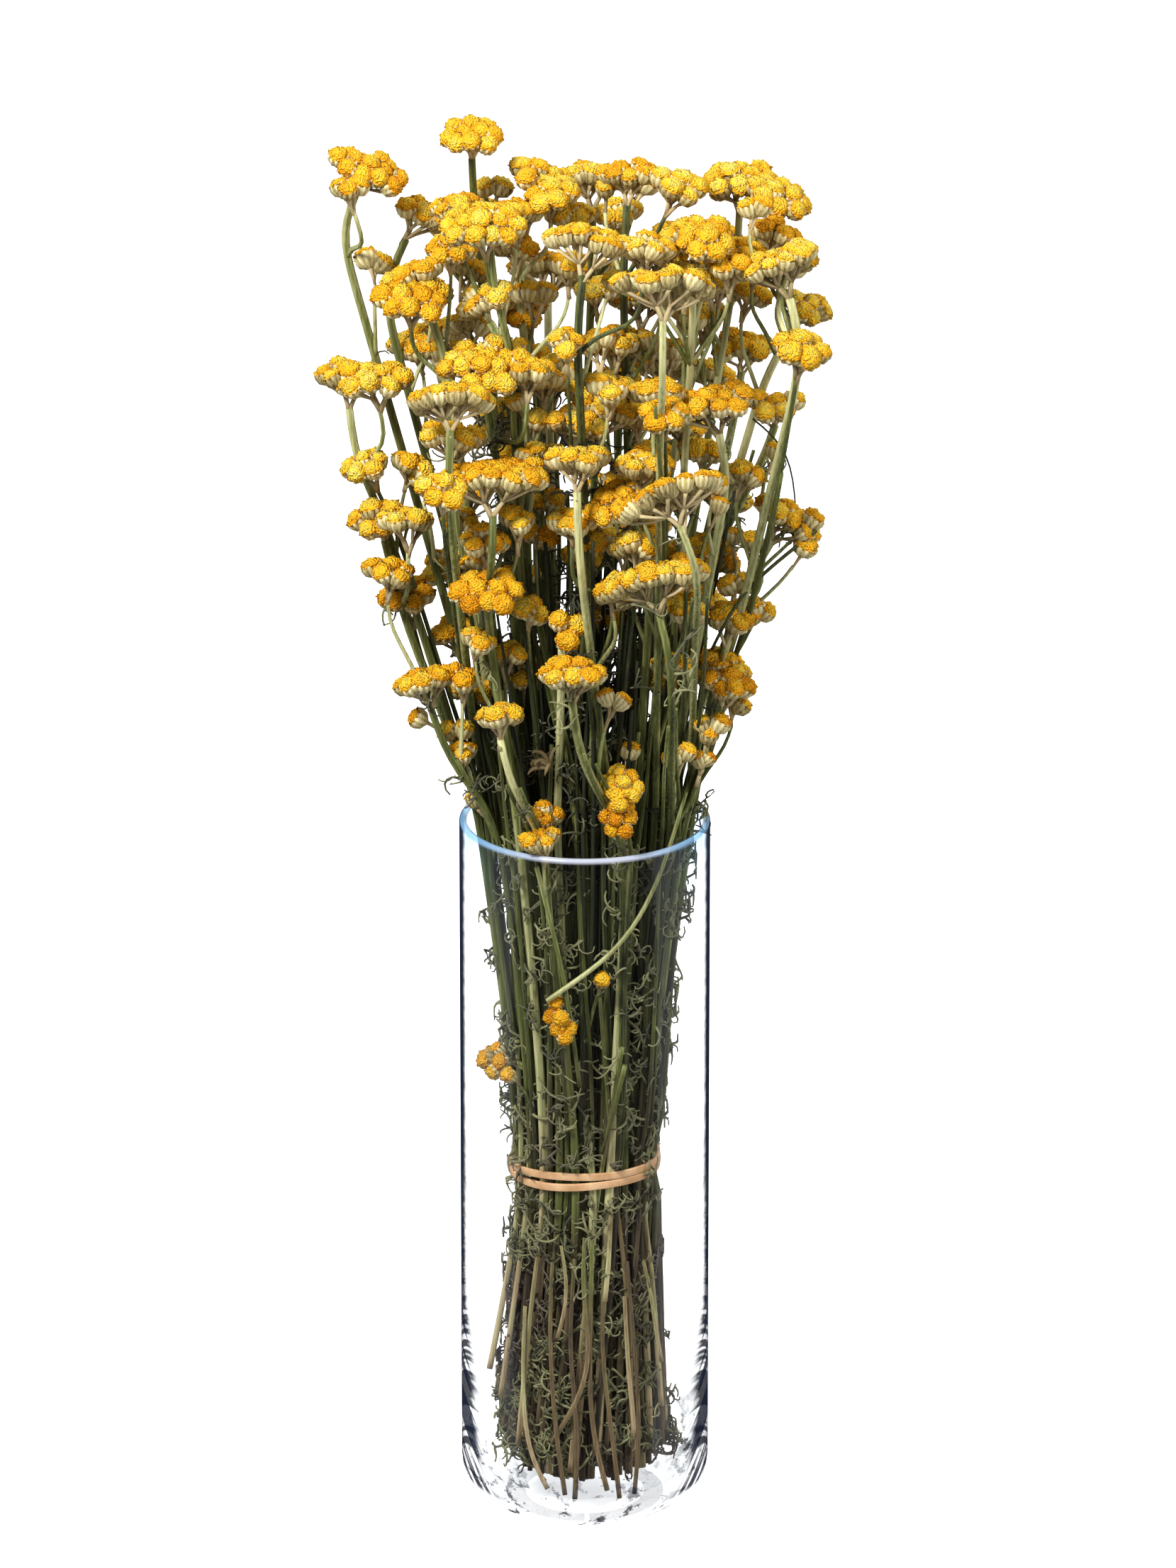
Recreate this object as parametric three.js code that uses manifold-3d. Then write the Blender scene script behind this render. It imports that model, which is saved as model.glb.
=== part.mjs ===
// A tied bunch of dried golden ageratum standing in a tall glass cylinder vase.
// Millimetres, +Z up. The origin is the middle of the vase's flat foot; -Y faces the viewer.
import * as THREE from "three";
import { mergeVertices } from "three/addons/utils/BufferGeometryUtils.js";
import Module from "manifold-3d";

const wasm = await Module();
wasm.setup();

// Vase
const VASE_RADIUS = 50;
const VASE_HEIGHT = 292;
const VASE_WALL = 3;
const VASE_FLOOR = 11;
const VASE_HEEL = 18; // radius of the rounded edge under the wall
const VASE_SIDES = 28;

// Stems
const STEM_RADIUS = 1.7;
const STEM_SIDES = 4;
const RING_STEP = 5.6; // from one ring of stems to the next at the tie
const RINGS = 4;
const TIE_STRETCH = 1.18; // the bunch at the tie is that much wider than deep
const TIE_HEIGHT = 145;
const FOOT_SPREAD = 1.3; // the bunch at its cut ends, as a multiple of its width at the tie
const FOOT_TURN = -0.32; // radians by which the stems wind between the tie and their cut ends
const FOOT_CLEAR = 0.4;
const RIM_LEVEL = 296;
const RIM_SPREAD_X = 1.62; // the bunch at the rim, as a multiple of its width at the tie
const RIM_SPREAD_Y = 1.6;
const LEVEL_STEP = 12; // height between the points at which a stem is combed
const STRAY = 0.9; // how far a stem's facets may run beside its combed path

// Rubber band
const BAND_INNER = 24.6;
const BAND_THICK = 1.1;
const BAND_WIDE = 3.2;
const BAND_STEPS = 28;

// Button flowers
const CELL = 9.4; // from one button to the next
const BUTTON_RADIUS = 5;
const BUTTON_MEET = 6.4; // from one grown-together head's nearest button to the other's
const GROOVE = 1.3; // the height at which neighbouring buttons part
const DOME_HEIGHT = 3.2;
const DOME_EXTRA = 1.6; // how much taller the inner buttons stand
const CUP_DEPTH = 6.2;
const CUP_RADIUS = 3.9;
const RAY_RADIUS = 0.85;
const RAY_STEP = 2.1; // from where one ray leaves the stem to where the next does
const RAY_SIDES = 3;
const SEAM = 0.3; // the gap between florets and cups
const NECK = 14; // the straight end of a stem under its fork
const FORK_DROP = 8; // how far under a second head's neck its side stem leaves, at the least

// Leaves
const LEAF_COUNT = 18;
const LEAF_LOW = 24; // the heights between which dry leaves curl out of the bunch
const LEAF_HIGH = 345;
const LEAF_WIDE = 0.75; // half its thickness in the middle

const BLOOM_GOLD = new THREE.MeshStandardMaterial({ color: 0xe8a010, roughness: 0.9, metalness: 0 });
const STEM_OLIVE = new THREE.MeshStandardMaterial({ color: 0x8a8a4e, roughness: 0.85, metalness: 0 });
const BAND_TAN = new THREE.MeshStandardMaterial({ color: 0xd19c66, roughness: 0.6, metalness: 0 });
const CLEAR_GLASS = new THREE.MeshStandardMaterial({
  color: 0xeef4f6,
  roughness: 0.03,
  metalness: 0,
  transparent: true,
  opacity: 0.3,
});

// One row per flower head: x, y, z of its middle, its width, its depth, and its lean to the right and away.
// A spray with two rows carries two heads that have grown into one.
const SPRAYS = [
  [[-44, 0, 575, 28, 20, 0, -0.5]],
  [[-82, -5, 566, 32, 22, 0.45, -0.35], [-95, -15, 555, 17, 13, -0.3, -0.1]],
  [[-62, 10, 539, 26, 16, 0.8, 0]],
  [[-70, -20, 528, 27, 16, -0.5, 0.1], [-65, -35, 515, 28, 20, 0, -0.5]],
  [[-36, -30, 557, 26, 18, 0, 0.1], [-40, -48, 547, 38, 20, -0.1, -0.4]],
  [[-16, 18, 555, 36, 18, 0.35, -0.2], [-13, -10, 551, 26, 20, 0, -0.4]],
  [[-2, -45, 547, 34, 22, 0.15, 0.4], [27, -40, 541, 24, 18, 0.1, 0.4]],
  [[17, 0, 557, 28, 18, 0.1, 0.15], [38, -10, 560, 30, 18, 0.45, 0]],
  [[59, 15, 554, 30, 20, 0, -0.15], [78, -5, 551, 28, 22, 0.5, -0.3]],
  [[42, -22, 546, 28, 16, 0, 0], [47, -48, 543, 24, 20, 0, -0.5]],
  [[72, -35, 544, 38, 20, -0.35, 0.2], [86, -24, 524, 16, 12, 0.4, -0.3]],
  [[30, -66, 535, 38, 24, 0, 0.6]],
  [[88, 0, 505, 24, 16, 0.6, -0.3]],
  [[63, 25, 481, 22, 13, 0.1, -0.2]],
  [[14, 25, 483, 18, 14, 0, 0]],
  [[-24, 15, 498, 18, 14, -0.2, -0.3]],
  [[-44, -10, 510, 18, 15, -0.9, 0.4]],
  [[-42, -40, 496, 30, 20, 0, -0.7], [-18, -34, 487, 24, 14, 0.1, 0.3]],
  [[-92, -5, 487, 30, 16, 0, 0.2], [-83, -22, 474, 26, 18, -0.2, -0.1]],
  [[-52, -56, 486, 28, 20, 0, 0.5]],
  [[-52, -36, 464, 27, 14, 0, 0.2]],
  [[4, -27, 469, 30, 20, 0, 0]],
  [[48, -38, 478, 32, 18, -0.3, -0.1]],
  [[77, 5, 464, 20, 14, 0.2, -0.3]],
  [[64, 10, 432, 18, 14, 0.5, 0]],
  [[-36, -64, 453, 40, 18, 0, 0.2], [-28, -38, 454, 24, 18, 0, -0.3]],
  [[-3, -52, 459, 26, 16, 0, 0.35]],
  [[16, -48, 446, 26, 18, -0.5, -0.4], [-7, -44, 426, 22, 14, 0, 0]],
  [[31, -68, 451, 36, 22, -0.5, 0.6]],
  [[-83, -12, 424, 20, 14, -0.2, -0.3], [-67, -30, 425, 24, 16, 0, 0.2]],
  [[-38, -54, 406, 22, 20, 0, -0.9]],
  [[21, -68, 418, 36, 20, -0.3, 0.2], [43, -50, 412, 16, 12, 0, -0.1]],
  [[81, -5, 420, 24, 16, 0.7, 0]],
  [[57, -25, 359, 20, 14, 0.2, -0.1]],
  [[61, -8, 380, 18, 13, 0.4, 0]],
  [[-63, -28, 360, 22, 16, -0.2, 0.1]],
  [[-9, -48, 388, 16, 13, 0, -0.6]],
  [[-5, -64, 376, 26, 18, 0, -0.1]],
  [[-33, -50, 354, 18, 13, 0, 0.1]],
  [[14, -46, 319, 14, 14, 0, -1.2]],
  [[-16, -35, 306, 18, 13, 0, -0.1]],
  [[-10, -38, 219, 13, 18, 0, -3]],
  [[-37, -14, 194, 13, 16, -3, -1.2]],
  [[-37, 38, 542, 22, 16, 0, 0.4], [-60, 34, 525, 20, 14, -0.4, 0.3]],
  [[0, 48, 548, 30, 20, 0, 0.5], [24, 40, 540, 24, 16, 0.2, 0.4]],
  [[48, 45, 528, 28, 18, 0.2, 0.4], [70, 35, 512, 20, 14, 0.4, 0.3]],
  [[-20, 60, 505, 28, 18, 0, 0.6], [8, 62, 498, 22, 16, 0, 0.6]],
  [[-62, 45, 480, 26, 18, -0.3, 0.5]],
  [[30, 60, 470, 28, 18, 0.1, 0.5], [55, 48, 455, 20, 14, 0.3, 0.4]],
  [[-35, 58, 440, 26, 18, -0.1, 0.5], [-8, 62, 432, 22, 16, 0, 0.6]],
  [[20, 55, 400, 26, 18, 0.1, 0.5]],
];

const vec = (x, y, z) => new THREE.Vector3(x, y, z);
const UP = vec(0, 0, 1);

// A seeded draw between 0 and 1, the same on every run.
function drawFrom(seed) {
  let state = seed;
  return () => {
    state = (state * 16807) % 2147483647;
    return state / 2147483647;
  };
}

// A closed mesh as a solid that can be joined and cut.
function solid(geometry) {
  const bare = geometry.clone();
  bare.deleteAttribute("normal");
  bare.deleteAttribute("uv");
  const merged = mergeVertices(bare, 1e-4);
  const corners = [];
  for (let i = 0; i < merged.index.count; i += 3) {
    const [a, b, c] = merged.index.array.slice(i, i + 3);
    if (a !== b && b !== c && c !== a) corners.push(a, b, c);
  }
  const made = new wasm.Manifold(
    new wasm.Mesh({
      numProp: 3,
      vertProperties: new Float32Array(merged.attributes.position.array),
      triVerts: new Uint32Array(corners),
    }),
  );
  return made;
}

function join(solids) {
  return solids.reduce((all, one) => all.add(one));
}

// A joined solid back as a named mesh.
function piece(made, name, material) {
  const { vertProperties, triVerts } = made.getMesh();
  const geometry = new THREE.BufferGeometry();
  geometry.setAttribute("position", new THREE.BufferAttribute(vertProperties, 3));
  geometry.setIndex(new THREE.BufferAttribute(triVerts, 1));
  geometry.computeVertexNormals();
  const mesh = new THREE.Mesh(geometry, material);
  mesh.name = name;
  return mesh;
}

// A few-sided rod through points, with a radius at each, closed at both ends.
function rod(points, radii, sides, turn = 0, lastAxis = null) {
  const whole = points.at(-1).clone().sub(points[0]).normalize();
  const beside = Math.abs(whole.x) > 0.8 ? vec(0, 1, 0) : vec(1, 0, 0);
  const rings = points.map((at, i) => {
    const before = points[Math.max(i - 1, 0)];
    const after = points[Math.min(i + 1, points.length - 1)];
    const last = i + 1 === points.length;
    const along = last && lastAxis ? lastAxis : after.clone().sub(before).normalize();
    const v = along.clone().cross(beside).normalize();
    return { at, radius: radii[i], u: v.clone().cross(along), v };
  });
  const steps = points.length - 1;
  const section = new THREE.Shape(
    Array.from({ length: sides }, (_, j) => {
      const angle = turn + (2 * Math.PI * j) / sides;
      return new THREE.Vector2(Math.cos(angle), Math.sin(angle));
    }),
  );
  const geometry = new THREE.ExtrudeGeometry(section, { depth: steps, steps, bevelEnabled: false });
  const { position } = geometry.attributes;
  for (let i = 0; i < position.count; i++) {
    const { at, radius, u, v } = rings[Math.round(position.getZ(i))];
    const moved = at.clone();
    moved.addScaledVector(u, position.getX(i) * radius).addScaledVector(v, position.getY(i) * radius);
    position.setXYZ(i, ...moved.toArray());
  }
  return solid(geometry);
}

// The cells of a head, one button in each: those of a honeycomb whose middles lie within an ellipse.
function buttonsOf(width, depth) {
  const [a, b] = [width / 2 - CELL * 0.42, Math.max(depth / 2 - CELL * 0.42, 1)];
  const row = CELL * Math.sin(Math.PI / 3);
  const starts = [
    [0, 0],
    [CELL / 2, 0],
    [CELL / 4, row / 2],
  ];
  let best = [];
  for (const [startU, startV] of starts) {
    const cells = [];
    for (let j = -3; j <= 3; j++)
      for (let i = -4; i <= 4; i++) {
        const u = startU + (i + (j & 1) / 2) * CELL;
        const v = startV + j * row;
        if ((u / a) ** 2 + (v / b) ** 2 < 1.2) cells.push([u, v]);
      }
    if (cells.length > best.length) best = cells;
  }
  return best;
}

// A head's own frame: its middle, its axis and how far below its middle the rays fork.
function headOf([x, y, z, width, depth, right, away]) {
  const axis = vec(right, away, 1).normalize();
  return {
    middle: vec(x, y, z),
    axis,
    turn: new THREE.Quaternion().setFromUnitVectors(UP, axis),
    fork: 9 + width * 0.28,
    width,
    buttons: buttonsOf(width, depth),
  };
}

function placed(head, u, v, w) {
  return vec(u, v, w).applyQuaternion(head.turn).add(head.middle);
}

// The room that a head takes, as balls: one at each button and two along each ray.
function ballsOf(head) {
  return head.buttons.flatMap(([u, v]) => {
    const low = -CUP_DEPTH;
    const reach = [0.35, 0.7].map((t) => ({
      at: placed(head, u * (1 - t), v * (1 - t), low - (head.fork + low) * t),
      radius: 2,
    }));
    return [{ at: placed(head, u, v, -1.5), radius: BUTTON_RADIUS + 0.8 }, ...reach];
  });
}

// The way that the second of two grown-together heads must move for their nearest buttons to overlap.
function meet(first, second) {
  let nearest = null;
  for (const [u, v] of first.buttons)
    for (const [p, q] of second.buttons) {
      const way = placed(second, p, q, 0).sub(placed(first, u, v, 0));
      if (!nearest || way.length() < nearest.length()) nearest = way;
    }
  const rise = nearest.dot(first.axis);
  const beside = nearest.clone().addScaledVector(first.axis, -rise);
  const wanted = beside.setLength(BUTTON_MEET).addScaledVector(first.axis, Math.max(-1.2, Math.min(1.2, rise)));
  return wanted.sub(nearest);
}

// Heads of different sprays are eased apart, mostly towards or away from the viewer.
function settle(sprays) {
  const heads = sprays.flatMap((heads, spray) => heads.map((head) => ({ head, spray })));
  for (let round = 0; round < 40; round++) {
    const balls = heads.map(({ head }) => ballsOf(head));
    const shifts = heads.map(() => vec(0, 0, 0));
    for (let i = 0; i < heads.length; i++)
      for (let j = i + 1; j < heads.length; j++) {
        if (heads[i].spray === heads[j].spray) {
          const pull = meet(heads[i].head, heads[j].head);
          shifts[i].addScaledVector(pull, -0.5);
          shifts[j].addScaledVector(pull, 0.5);
          continue;
        }
        if (heads[i].head.middle.distanceTo(heads[j].head.middle) > 70) continue;
        let deepest = 0;
        let push = null;
        for (const p of balls[i])
          for (const q of balls[j]) {
            const gap = p.at.clone().sub(q.at);
            const lack = p.radius + q.radius - gap.length();
            if (lack > deepest) {
              deepest = lack;
              push = gap.normalize();
            }
          }
        if (!push) continue;
        const side = Math.sign(heads[i].head.middle.y - heads[j].head.middle.y) || 1;
        push.set(push.x * 0.4, push.y + 0.5 * side, push.z * 0.4).normalize();
        shifts[i].addScaledVector(push, deepest * 0.5);
        shifts[j].addScaledVector(push, -deepest * 0.5);
      }
    heads.forEach(({ head }, i) => head.middle.addScaledVector(shifts[i], 0.6));
  }
  for (const [first, second] of sprays) if (second) second.middle.add(meet(first, second));
}

// The places of the stems at the tie, ring by ring, each ring from the same side round.
function slotsOf() {
  const rings = [];
  for (let ring = 1; ring <= RINGS; ring++) {
    const count = 6 * ring;
    rings.push(
      Array.from({ length: count }, (_, i) => {
        const angle = (2 * Math.PI * (i + 0.5)) / count - Math.PI;
        const reach = ring * RING_STEP;
        return { ring, angle, x: TIE_STRETCH * reach * Math.cos(angle), y: reach * Math.sin(angle) };
      }),
    );
  }
  return rings;
}

// Steeply leaning sprays go to the outer rings, and each ring is filled in order of direction, low heads first.
function slotSprays(sprays) {
  const ranked = sprays
    .map((heads, spray) => {
      const { x, y, z } = heads[0].middle;
      const low = z < RIM_LEVEL + 120 ? 1 : 0;
      return { spray, low, slope: Math.hypot(x, y) / (z - TIE_HEIGHT), angle: Math.atan2(y, x) };
    })
    .sort((a, b) => b.slope - a.slope);
  const slots = [];
  for (const ring of slotsOf().reverse()) {
    const members = ranked.splice(0, ring.length).sort((a, b) => b.low - a.low || a.angle - b.angle);
    const free = [...ring];
    for (const member of members) {
      const away = (slot) => Math.abs(Math.atan2(Math.sin(slot.angle - member.angle), Math.cos(slot.angle - member.angle)));
      free.sort((a, b) => away(a) - away(b));
      slots[member.spray] = free.shift();
    }
  }
  return slots;
}

function neckOf(head) {
  return placed(head, 0, 0, -head.fork - NECK);
}

// Stems rise from the rim to their necks, combed level by level clear of each other and of all other heads.
function comb(sprays, slots) {
  const stems = sprays.map((heads, i) => {
    const neck = neckOf(heads[0]);
    const rim = vec(slots[i].x * RIM_SPREAD_X, slots[i].y * RIM_SPREAD_Y, RIM_LEVEL);
    if (neck.z < RIM_LEVEL + LEVEL_STEP) return [neck];
    const count = Math.floor((neck.z - RIM_LEVEL - 6) / LEVEL_STEP);
    const points = [rim];
    for (let level = 1; level <= count; level++) {
      const share = (level * LEVEL_STEP) / (neck.z - RIM_LEVEL);
      const z = RIM_LEVEL + level * LEVEL_STEP;
      points.push(vec(rim.x + (neck.x - rim.x) * share, rim.y + (neck.y - rim.y) * share, z));
    }
    return [...points, neck];
  });
  const balls = sprays.flatMap((heads, spray) =>
    heads.flatMap((head, row) => ballsOf(head).map((ball) => ({ ...ball, own: row ? -1 : spray }))),
  );
  for (let round = 0; round < 200; round++) {
    for (const points of stems)
      for (let i = 1; i + 1 < points.length; i++) {
        points[i].x += 0.35 * ((points[i - 1].x + points[i + 1].x) / 2 - points[i].x);
        points[i].y += 0.35 * ((points[i - 1].y + points[i + 1].y) / 2 - points[i].y);
      }
    for (let a = 0; a < stems.length; a++)
      for (let i = 1; i + 1 < stems[a].length; i++) {
        const p = stems[a][i];
        for (const ball of balls) {
          if (ball.own === a) continue;
          const rise = Math.max(0, Math.abs(ball.at.z - p.z) - 5);
          if (rise >= ball.radius) continue;
          const keep = Math.sqrt(ball.radius ** 2 - rise ** 2) + STEM_RADIUS + 0.8;
          pushOff(p, ball.at, keep, 1);
        }
        for (let b = a + 1; b < stems.length; b++)
          if (i + 1 < stems[b].length) {
            const q = stems[b][i];
            const lack = 2 * STEM_RADIUS + 2.2;
            pushOff(p, q, lack, 0.5);
            pushOff(q, p, lack, 1);
          }
      }
  }
  return stems;
}

// Moves p level with q until they are the given distance apart, or by a share of what is lacking.
function pushOff(p, q, distance, share) {
  const [dx, dy] = [p.x - q.x, p.y - q.y];
  const gap = Math.hypot(dx, dy) || 1e-6;
  if (gap >= distance) return;
  p.x += (dx / gap) * (distance - gap) * share;
  p.y += (dy / gap) * (distance - gap) * share;
}

// A head's florets: a low bump over each cell, all in one closed mesh, parted by grooves.
function florets(head) {
  const side = CELL / Math.sqrt(3);
  const position = [];
  const put = (u, v, w) => {
    position.push(...placed(head, u, v, w).toArray());
    return position.length / 3 - 1;
  };
  const corners = [];
  const cells = head.buttons.map(([u, v]) =>
    [0, 1, 2, 3, 4, 5].map((k) => {
      const angle = ((k + 0.5) * Math.PI) / 3;
      const [x, y] = [u + side * Math.cos(angle), v + side * Math.sin(angle)];
      let corner = corners.find((known) => Math.hypot(known.x - x, known.y - y) < 0.5);
      if (!corner) corners.push((corner = { x, y, cells: 0 }));
      corner.cells += 1;
      return corner;
    }),
  );
  for (const corner of corners) {
    corner.base = put(corner.x, corner.y, 0);
    corner.rim = corner.cells > 1 ? put(corner.x, corner.y, GROOVE) : corner.base;
  }
  const edges = new Set();
  for (const cell of cells) cell.forEach((from, k) => edges.add(`${from.base},${cell[(k + 1) % 6].base}`));
  const index = [];
  const face = (...three) => {
    if (new Set(three).size === 3) index.push(...three);
  };
  cells.forEach((cell, i) => {
    const [u, v] = head.buttons[i];
    const height = DOME_HEIGHT + DOME_EXTRA * (1 - Math.hypot(u, v) / (head.width / 2));
    const crown = [0, 2, 4].map((k) => {
      const angle = ((k + 0.5) * Math.PI) / 3;
      return put(u + 0.55 * side * Math.cos(angle), v + 0.55 * side * Math.sin(angle), height);
    });
    for (let k = 0; k < 6; k++) {
      const [from, to] = [cell[k], cell[(k + 1) % 6]];
      const own = crown[k % 2 ? ((k + 1) / 2) % 3 : k / 2];
      face(from.rim, to.rim, own);
      if (k % 2 === 0) face(to.rim, crown[(k / 2 + 1) % 3], own);
      if (!edges.has(`${to.base},${from.base}`)) {
        face(from.base, to.base, to.rim);
        face(from.base, to.rim, from.rim);
      }
      if (k > 0 && k < 5) face(cell[0].base, to.base, from.base);
    }
    face(...crown);
  });
  const geometry = new THREE.BufferGeometry();
  geometry.setAttribute("position", new THREE.Float32BufferAttribute(position, 3));
  geometry.setIndex(index);
  return solid(geometry);
}

// The pale cups under a head and the rays that carry them, each leaving the stem a little above the last.
function cups(head) {
  const order = head.buttons.map((_, i) => i).sort((i, j) => Math.hypot(...head.buttons[j]) - Math.hypot(...head.buttons[i]));
  return order.map((i, step) => {
    const [u, v] = head.buttons[i];
    const points = [
      placed(head, 0, 0, -head.fork - 2.5 - (order.length - 1 - step) * RAY_STEP),
      placed(head, u * 0.86, v * 0.86, -CUP_DEPTH),
      placed(head, u, v, -SEAM),
    ];
    return rod(points, [RAY_RADIUS * 0.6, RAY_RADIUS + 0.3, CUP_RADIUS], RAY_SIDES, u, head.axis);
  });
}

// The points without which a path would run more than a little to one side.
function thinned(path) {
  if (path.length < 3) return path;
  const line = new THREE.Line3(path[0], path.at(-1));
  const strays = path.map((p) => line.closestPointToPoint(p, true, vec(0, 0, 0)).distanceTo(p));
  const most = Math.max(...strays);
  if (most < STRAY) return [path[0], path.at(-1)];
  const at = strays.indexOf(most);
  return [...thinned(path.slice(0, at + 1)).slice(0, -1), ...thinned(path.slice(at))];
}

// The way of a stem from its cut end through the tie and its combed points up to its fork.
function pathOf(spray, slot, above) {
  const [cos, sin] = [Math.cos(FOOT_TURN), Math.sin(FOOT_TURN)];
  const tie = vec(slot.x, slot.y, TIE_HEIGHT);
  const foot = vec(
    FOOT_SPREAD * (slot.x * cos - slot.y * sin),
    FOOT_SPREAD * (slot.x * sin + slot.y * cos),
    VASE_FLOOR,
  ).lerp(tie, (footOf(slot) - VASE_FLOOR) / (TIE_HEIGHT - VASE_FLOOR));
  return [foot, ...thinned([tie, ...above]), placed(spray[0], 0, 0, -spray[0].fork)];
}

// A stem, with a side stem to a second head.
function stemOf(spray, path, above) {
  const parts = [rod(path, path.map(() => STEM_RADIUS), STEM_SIDES)];
  for (const head of spray.slice(1)) {
    const neck = neckOf(head);
    const upper = above.findIndex((point) => point.z > neck.z - FORK_DROP);
    const joint = upper < 1 ? above.at(-1) : above[upper - 1];
    const branch = [joint, neck, placed(head, 0, 0, -head.fork)];
    parts.push(rod(branch, [1.2, 1.2, 1.2], STEM_SIDES));
  }
  return parts;
}

// The height of a stem's cut end: the inner ones stand on the vase's floor, the outer ones end higher.
function footOf(slot) {
  const draw = drawFrom(6000 + Math.round(slot.x * 37 + slot.y * 101))();
  const raised = slot.ring < 3 ? 0 : slot.ring < 4 ? 3 + 12 * draw : 14 + 26 * draw;
  return VASE_FLOOR + FOOT_CLEAR + raised;
}

// The sixth of the bunch in which a slot lies.
function sectorOf(slot) {
  return Math.floor((slot.angle + Math.PI) / (Math.PI / 3)) % 6;
}

// Short pieces that hold the stems of one sixth together under the band, each to its nearest neighbour.
function links(members) {
  const made = [];
  const joined = [members[0]];
  const loose = members.slice(1);
  while (loose.length) {
    let best = null;
    for (const from of joined)
      for (const to of loose) {
        const length = Math.hypot(from.x - to.x, from.y - to.y);
        if (!best || length < best.length) best = { from, to, length };
      }
    const ends = [best.from, best.to].map((slot) => vec(slot.x, slot.y, TIE_HEIGHT));
    made.push(rod(ends, [1.1, 1.1], 3, Math.PI / 2));
    joined.push(best.to);
    loose.splice(loose.indexOf(best.to), 1);
  }
  return made;
}

// A bunch without what would stand in some other piece.
function clearOf(bunch, other) {
  return bunch.intersect(other).volume() > 1e-3 ? bunch.subtract(other) : bunch;
}

// The vase: a cylinder with a thick floor, a rounded heel and a rounded rim.
function vaseOf() {
  const [outer, inner] = [VASE_RADIUS, VASE_RADIUS - VASE_WALL];
  const bend = VASE_HEEL - VASE_WALL;
  const profile = [[0, 0]];
  for (const turn of [0, 0.25, 0.5, 0.75, 1]) {
    const angle = (turn * Math.PI) / 2;
    profile.push([outer - VASE_HEEL + VASE_HEEL * Math.sin(angle), VASE_HEEL - VASE_HEEL * Math.cos(angle)]);
  }
  const edge = VASE_WALL / 2;
  for (const turn of [0, 0.5, 1, 1.5, 2]) {
    const angle = (turn * Math.PI) / 2;
    profile.push([outer - edge + edge * Math.cos(angle), VASE_HEIGHT - edge + edge * Math.sin(angle)]);
  }
  for (const turn of [1, 0.66, 0.33, 0]) {
    const angle = (turn * Math.PI) / 2;
    profile.push([inner - bend + bend * Math.sin(angle), VASE_FLOOR + bend - bend * Math.cos(angle)]);
  }
  profile.push([0, VASE_FLOOR]);
  const corners = profile.map(([r, z]) => new THREE.Vector2(Math.max(r, 0), z));
  return solid(new THREE.LatheGeometry(corners, VASE_SIDES).rotateX(Math.PI / 2));
}

// The rubber band: two turns, one over the other, a little further apart in front.
function bandOf() {
  const [high, low] = [BAND_WIDE, BAND_WIDE * 0.25];
  const section = [
    [0, -high],
    [BAND_THICK, -high + 0.3],
    [BAND_THICK, -low],
    [BAND_THICK * 0.35, 0],
    [BAND_THICK, low],
    [BAND_THICK, high - 0.3],
    [0, high],
    [0, -high],
  ];
  const corners = section.map(([r, z]) => new THREE.Vector2(BAND_INNER + r, z));
  const ring = new THREE.LatheGeometry(corners, BAND_STEPS).rotateX(Math.PI / 2);
  const { position } = ring.attributes;
  for (let i = 0; i < position.count; i++) {
    const [x, y, z] = [position.getX(i), position.getY(i), position.getZ(i)];
    const front = Math.max(0, -(y + 0.4 * x) / BAND_INNER);
    position.setXYZ(i, x * TIE_STRETCH, y, TIE_HEIGHT + z * (1 + 0.25 * front) + 0.05 * x);
  }
  return solid(ring);
}

// The point of a path at a height.
function pointAt(path, z) {
  const above = Math.max(1, path.findIndex((p) => p.z > z));
  const [low, high] = [path[above - 1], path[above]];
  return low.clone().lerp(high, (z - low.z) / (high.z - low.z));
}

// A dry thread-like leaf that grows out of a stem and curls over.
function leafFrom(root, draw) {
  const out = vec(root.x, root.y, 0).normalize();
  const along = vec(-out.y, out.x, 0).multiplyScalar(draw() < 0.5 ? -1 : 1);
  const [reach, rise] = [4 + 5 * draw(), 7 + 9 * draw()];
  const step = (o, a, u) => root.clone().addScaledVector(out, o).addScaledVector(along, a).addScaledVector(UP, u);
  const points = [
    step(-0.6, 0, 0),
    step(reach, reach * 0.4, rise * 0.8),
    step(reach * 0.7, reach * 1.3, rise * 1.15),
    step(reach * 0.2, reach * 1.2, rise * 0.7),
  ];
  return rod(points, [0.6, LEAF_WIDE * 1.2, LEAF_WIDE, 0.4], 3, draw() * 2);
}

// Leaves on the outer stems, kept only where nothing else stands.
function addLeaves(bunches, others, paths) {
  const draw = drawFrom(4711);
  const outside = paths.filter(({ slot }) => slot.ring > 2);
  for (let tries = 0, grown = 0; grown < LEAF_COUNT && tries < 600; tries++) {
    const { path, sector } = outside[Math.floor(draw() * outside.length)];
    const z = LEAF_LOW + (LEAF_HIGH - LEAF_LOW) * draw() ** 1.2;
    if (z < path[0].z + 6 || z > path.at(-1).z - 25 || Math.abs(z - TIE_HEIGHT + 5) < 16) continue;
    const leaf = leafFrom(pointAt(path, z), draw);
    const far = leaf.boundingBox();
    const wide = Math.max(...[far.min, far.max].map(([x, y]) => Math.hypot(x, y)));
    if (z < VASE_HEIGHT && wide > VASE_RADIUS - VASE_WALL - 0.5) continue;
    const blocked = [...bunches.filter((_, i) => i !== sector), ...others];
    if (blocked.some((other) => other.intersect(leaf).volume() > 1e-6)) continue;
    bunches[sector] = bunches[sector].add(leaf);
    grown += 1;
  }
}

const sprays = SPRAYS.map((rows) => rows.map(headOf));
settle(sprays);
const slots = slotSprays(sprays);
const stems = comb(sprays, slots);

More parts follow.
